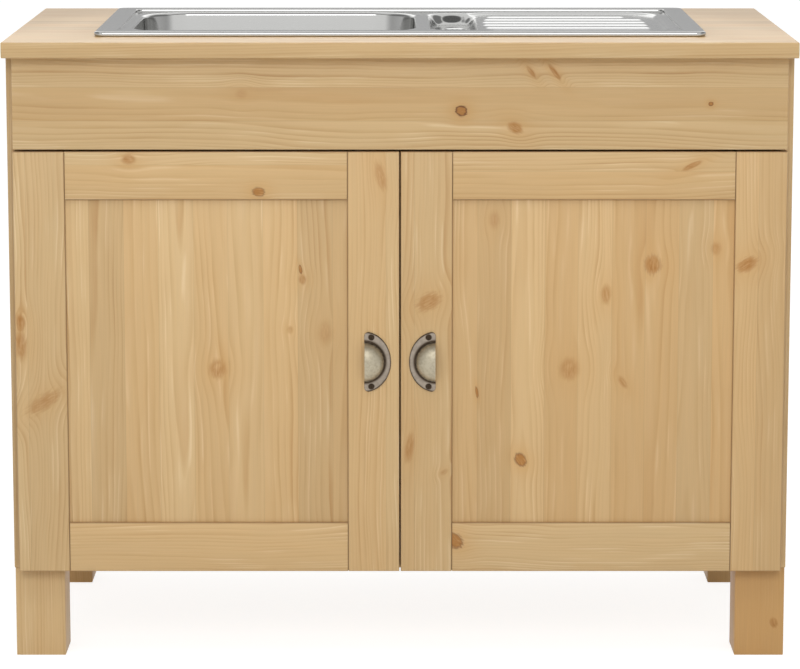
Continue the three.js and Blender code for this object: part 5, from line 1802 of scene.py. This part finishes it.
class CABINET_OT_stage(bpy.types.Operator):
    """Sets up the camera, the lights and the floor"""
    bl_idname = "cabinet.stage"
    bl_label = "Stage"

    def execute(self, context):
        stage = context.scene.cabinet_stage
        context.scene.view_settings.view_transform = "Standard"
        make_camera()
        make_world()
        for name, place, target, size, power, mirrored in SOFTBOXES:
            make_lamp(name, place, target, size, getattr(stage, power), mirrored)
        make_floor()
        for card in CARDS:
            make_card(*card)
        return {"FINISHED"}


class CABINET_OT_worktop(bpy.types.Operator):
    """Makes the worktop with its cut-out"""
    bl_idname = "cabinet.worktop"
    bl_label = "Worktop"

    def execute(self, context):
        make_worktop()
        return {"FINISHED"}


class CABINET_OT_carcass(bpy.types.Operator):
    """Makes the side panels, inner boards, legs and apron"""
    bl_idname = "cabinet.carcass"
    bl_label = "Carcass"

    def execute(self, context):
        for node in PLAIN_BOARDS:
            make_plain_board(node)
        finish_node("back_panel", board_material("back_panel"))
        return {"FINISHED"}


class CABINET_OT_doors(bpy.types.Operator):
    """Makes both framed doors"""
    bl_idname = "cabinet.doors"
    bl_label = "Doors"

    def execute(self, context):
        for side in ("left", "right"):
            make_door(side)
        return {"FINISHED"}


class CABINET_OT_pulls(bpy.types.Operator):
    """Makes the cup pulls and their screws"""
    bl_idname = "cabinet.pulls"
    bl_label = "Pulls"

    def execute(self, context):
        make_pulls()
        return {"FINISHED"}


class CABINET_OT_hinges(bpy.types.Operator):
    """Finishes the hinges, the sink's clamps and its seal"""
    bl_idname = "cabinet.hinges"
    bl_label = "Hinges and clamps"

    def execute(self, context):
        plated, strip = nickel(), foam()
        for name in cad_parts:
            if ("_hinge_" in name and "stile" not in name) or "clamp" in name:
                finish_node(name, plated)
        finish_node("sink_seal", strip)
        return {"FINISHED"}


class CABINET_OT_sink(bpy.types.Operator):
    """Makes the sink with its waste flange and strainer basket"""
    bl_idname = "cabinet.sink"
    bl_label = "Sink"

    def execute(self, context):
        metal = steel()
        settle(make_sink(), "cabinet", "steel", metal, "sink_top", "sink_bowl")
        make_flange(metal)
        make_basket(metal)
        return {"FINISHED"}


class CABINET_OT_pipes(bpy.types.Operator):
    """Makes the waste bodies, the bellows tube, the trap and its outlet"""
    bl_idname = "cabinet.pipes"
    bl_label = "Pipes"

    def execute(self, context):
        white = polypropylene()
        make_waste_body(white)
        make_dish_waste(white, bpy.data.materials["satin_stainless_steel"])
        make_overflow_tube(white)
        make_trap(white)
        return {"FINISHED"}


OPERATORS = [
    CABINET_OT_stage,
    CABINET_OT_worktop,
    CABINET_OT_carcass,
    CABINET_OT_doors,
    CABINET_OT_pulls,
    CABINET_OT_hinges,
    CABINET_OT_sink,
    CABINET_OT_pipes,
]


class CABINET_PT_build(bpy.types.Panel):
    """Lists the steps that build the cabinet, and what may be changed"""
    bl_label = "Sink base cabinet"
    bl_idname = "CABINET_PT_build"
    bl_space_type = "VIEW_3D"
    bl_region_type = "UI"
    bl_category = "Cabinet"

    def draw(self, context):
        for operator in OPERATORS:
            self.layout.operator(operator.bl_idname)
        for name, group in GROUPS.items():
            box = self.layout.box()
            box.label(text=group.__doc__)
            for prop in group.__annotations__:
                box.prop(getattr(context.scene, name), prop)


def register():
    for cls in (*GROUPS.values(), *OPERATORS, CABINET_PT_build):
        bpy.utils.register_class(cls)
    for name, group in GROUPS.items():
        setattr(bpy.types.Scene, name, PointerProperty(type=group))


def unregister():
    for name in GROUPS:
        delattr(bpy.types.Scene, name)
    for cls in reversed((*GROUPS.values(), *OPERATORS, CABINET_PT_build)):
        bpy.utils.unregister_class(cls)


def main():
    register()
    for operator in OPERATORS:
        group, name = operator.bl_idname.split(".")
        getattr(getattr(bpy.ops, group), name)()


if __name__ == "__main__":
    main()
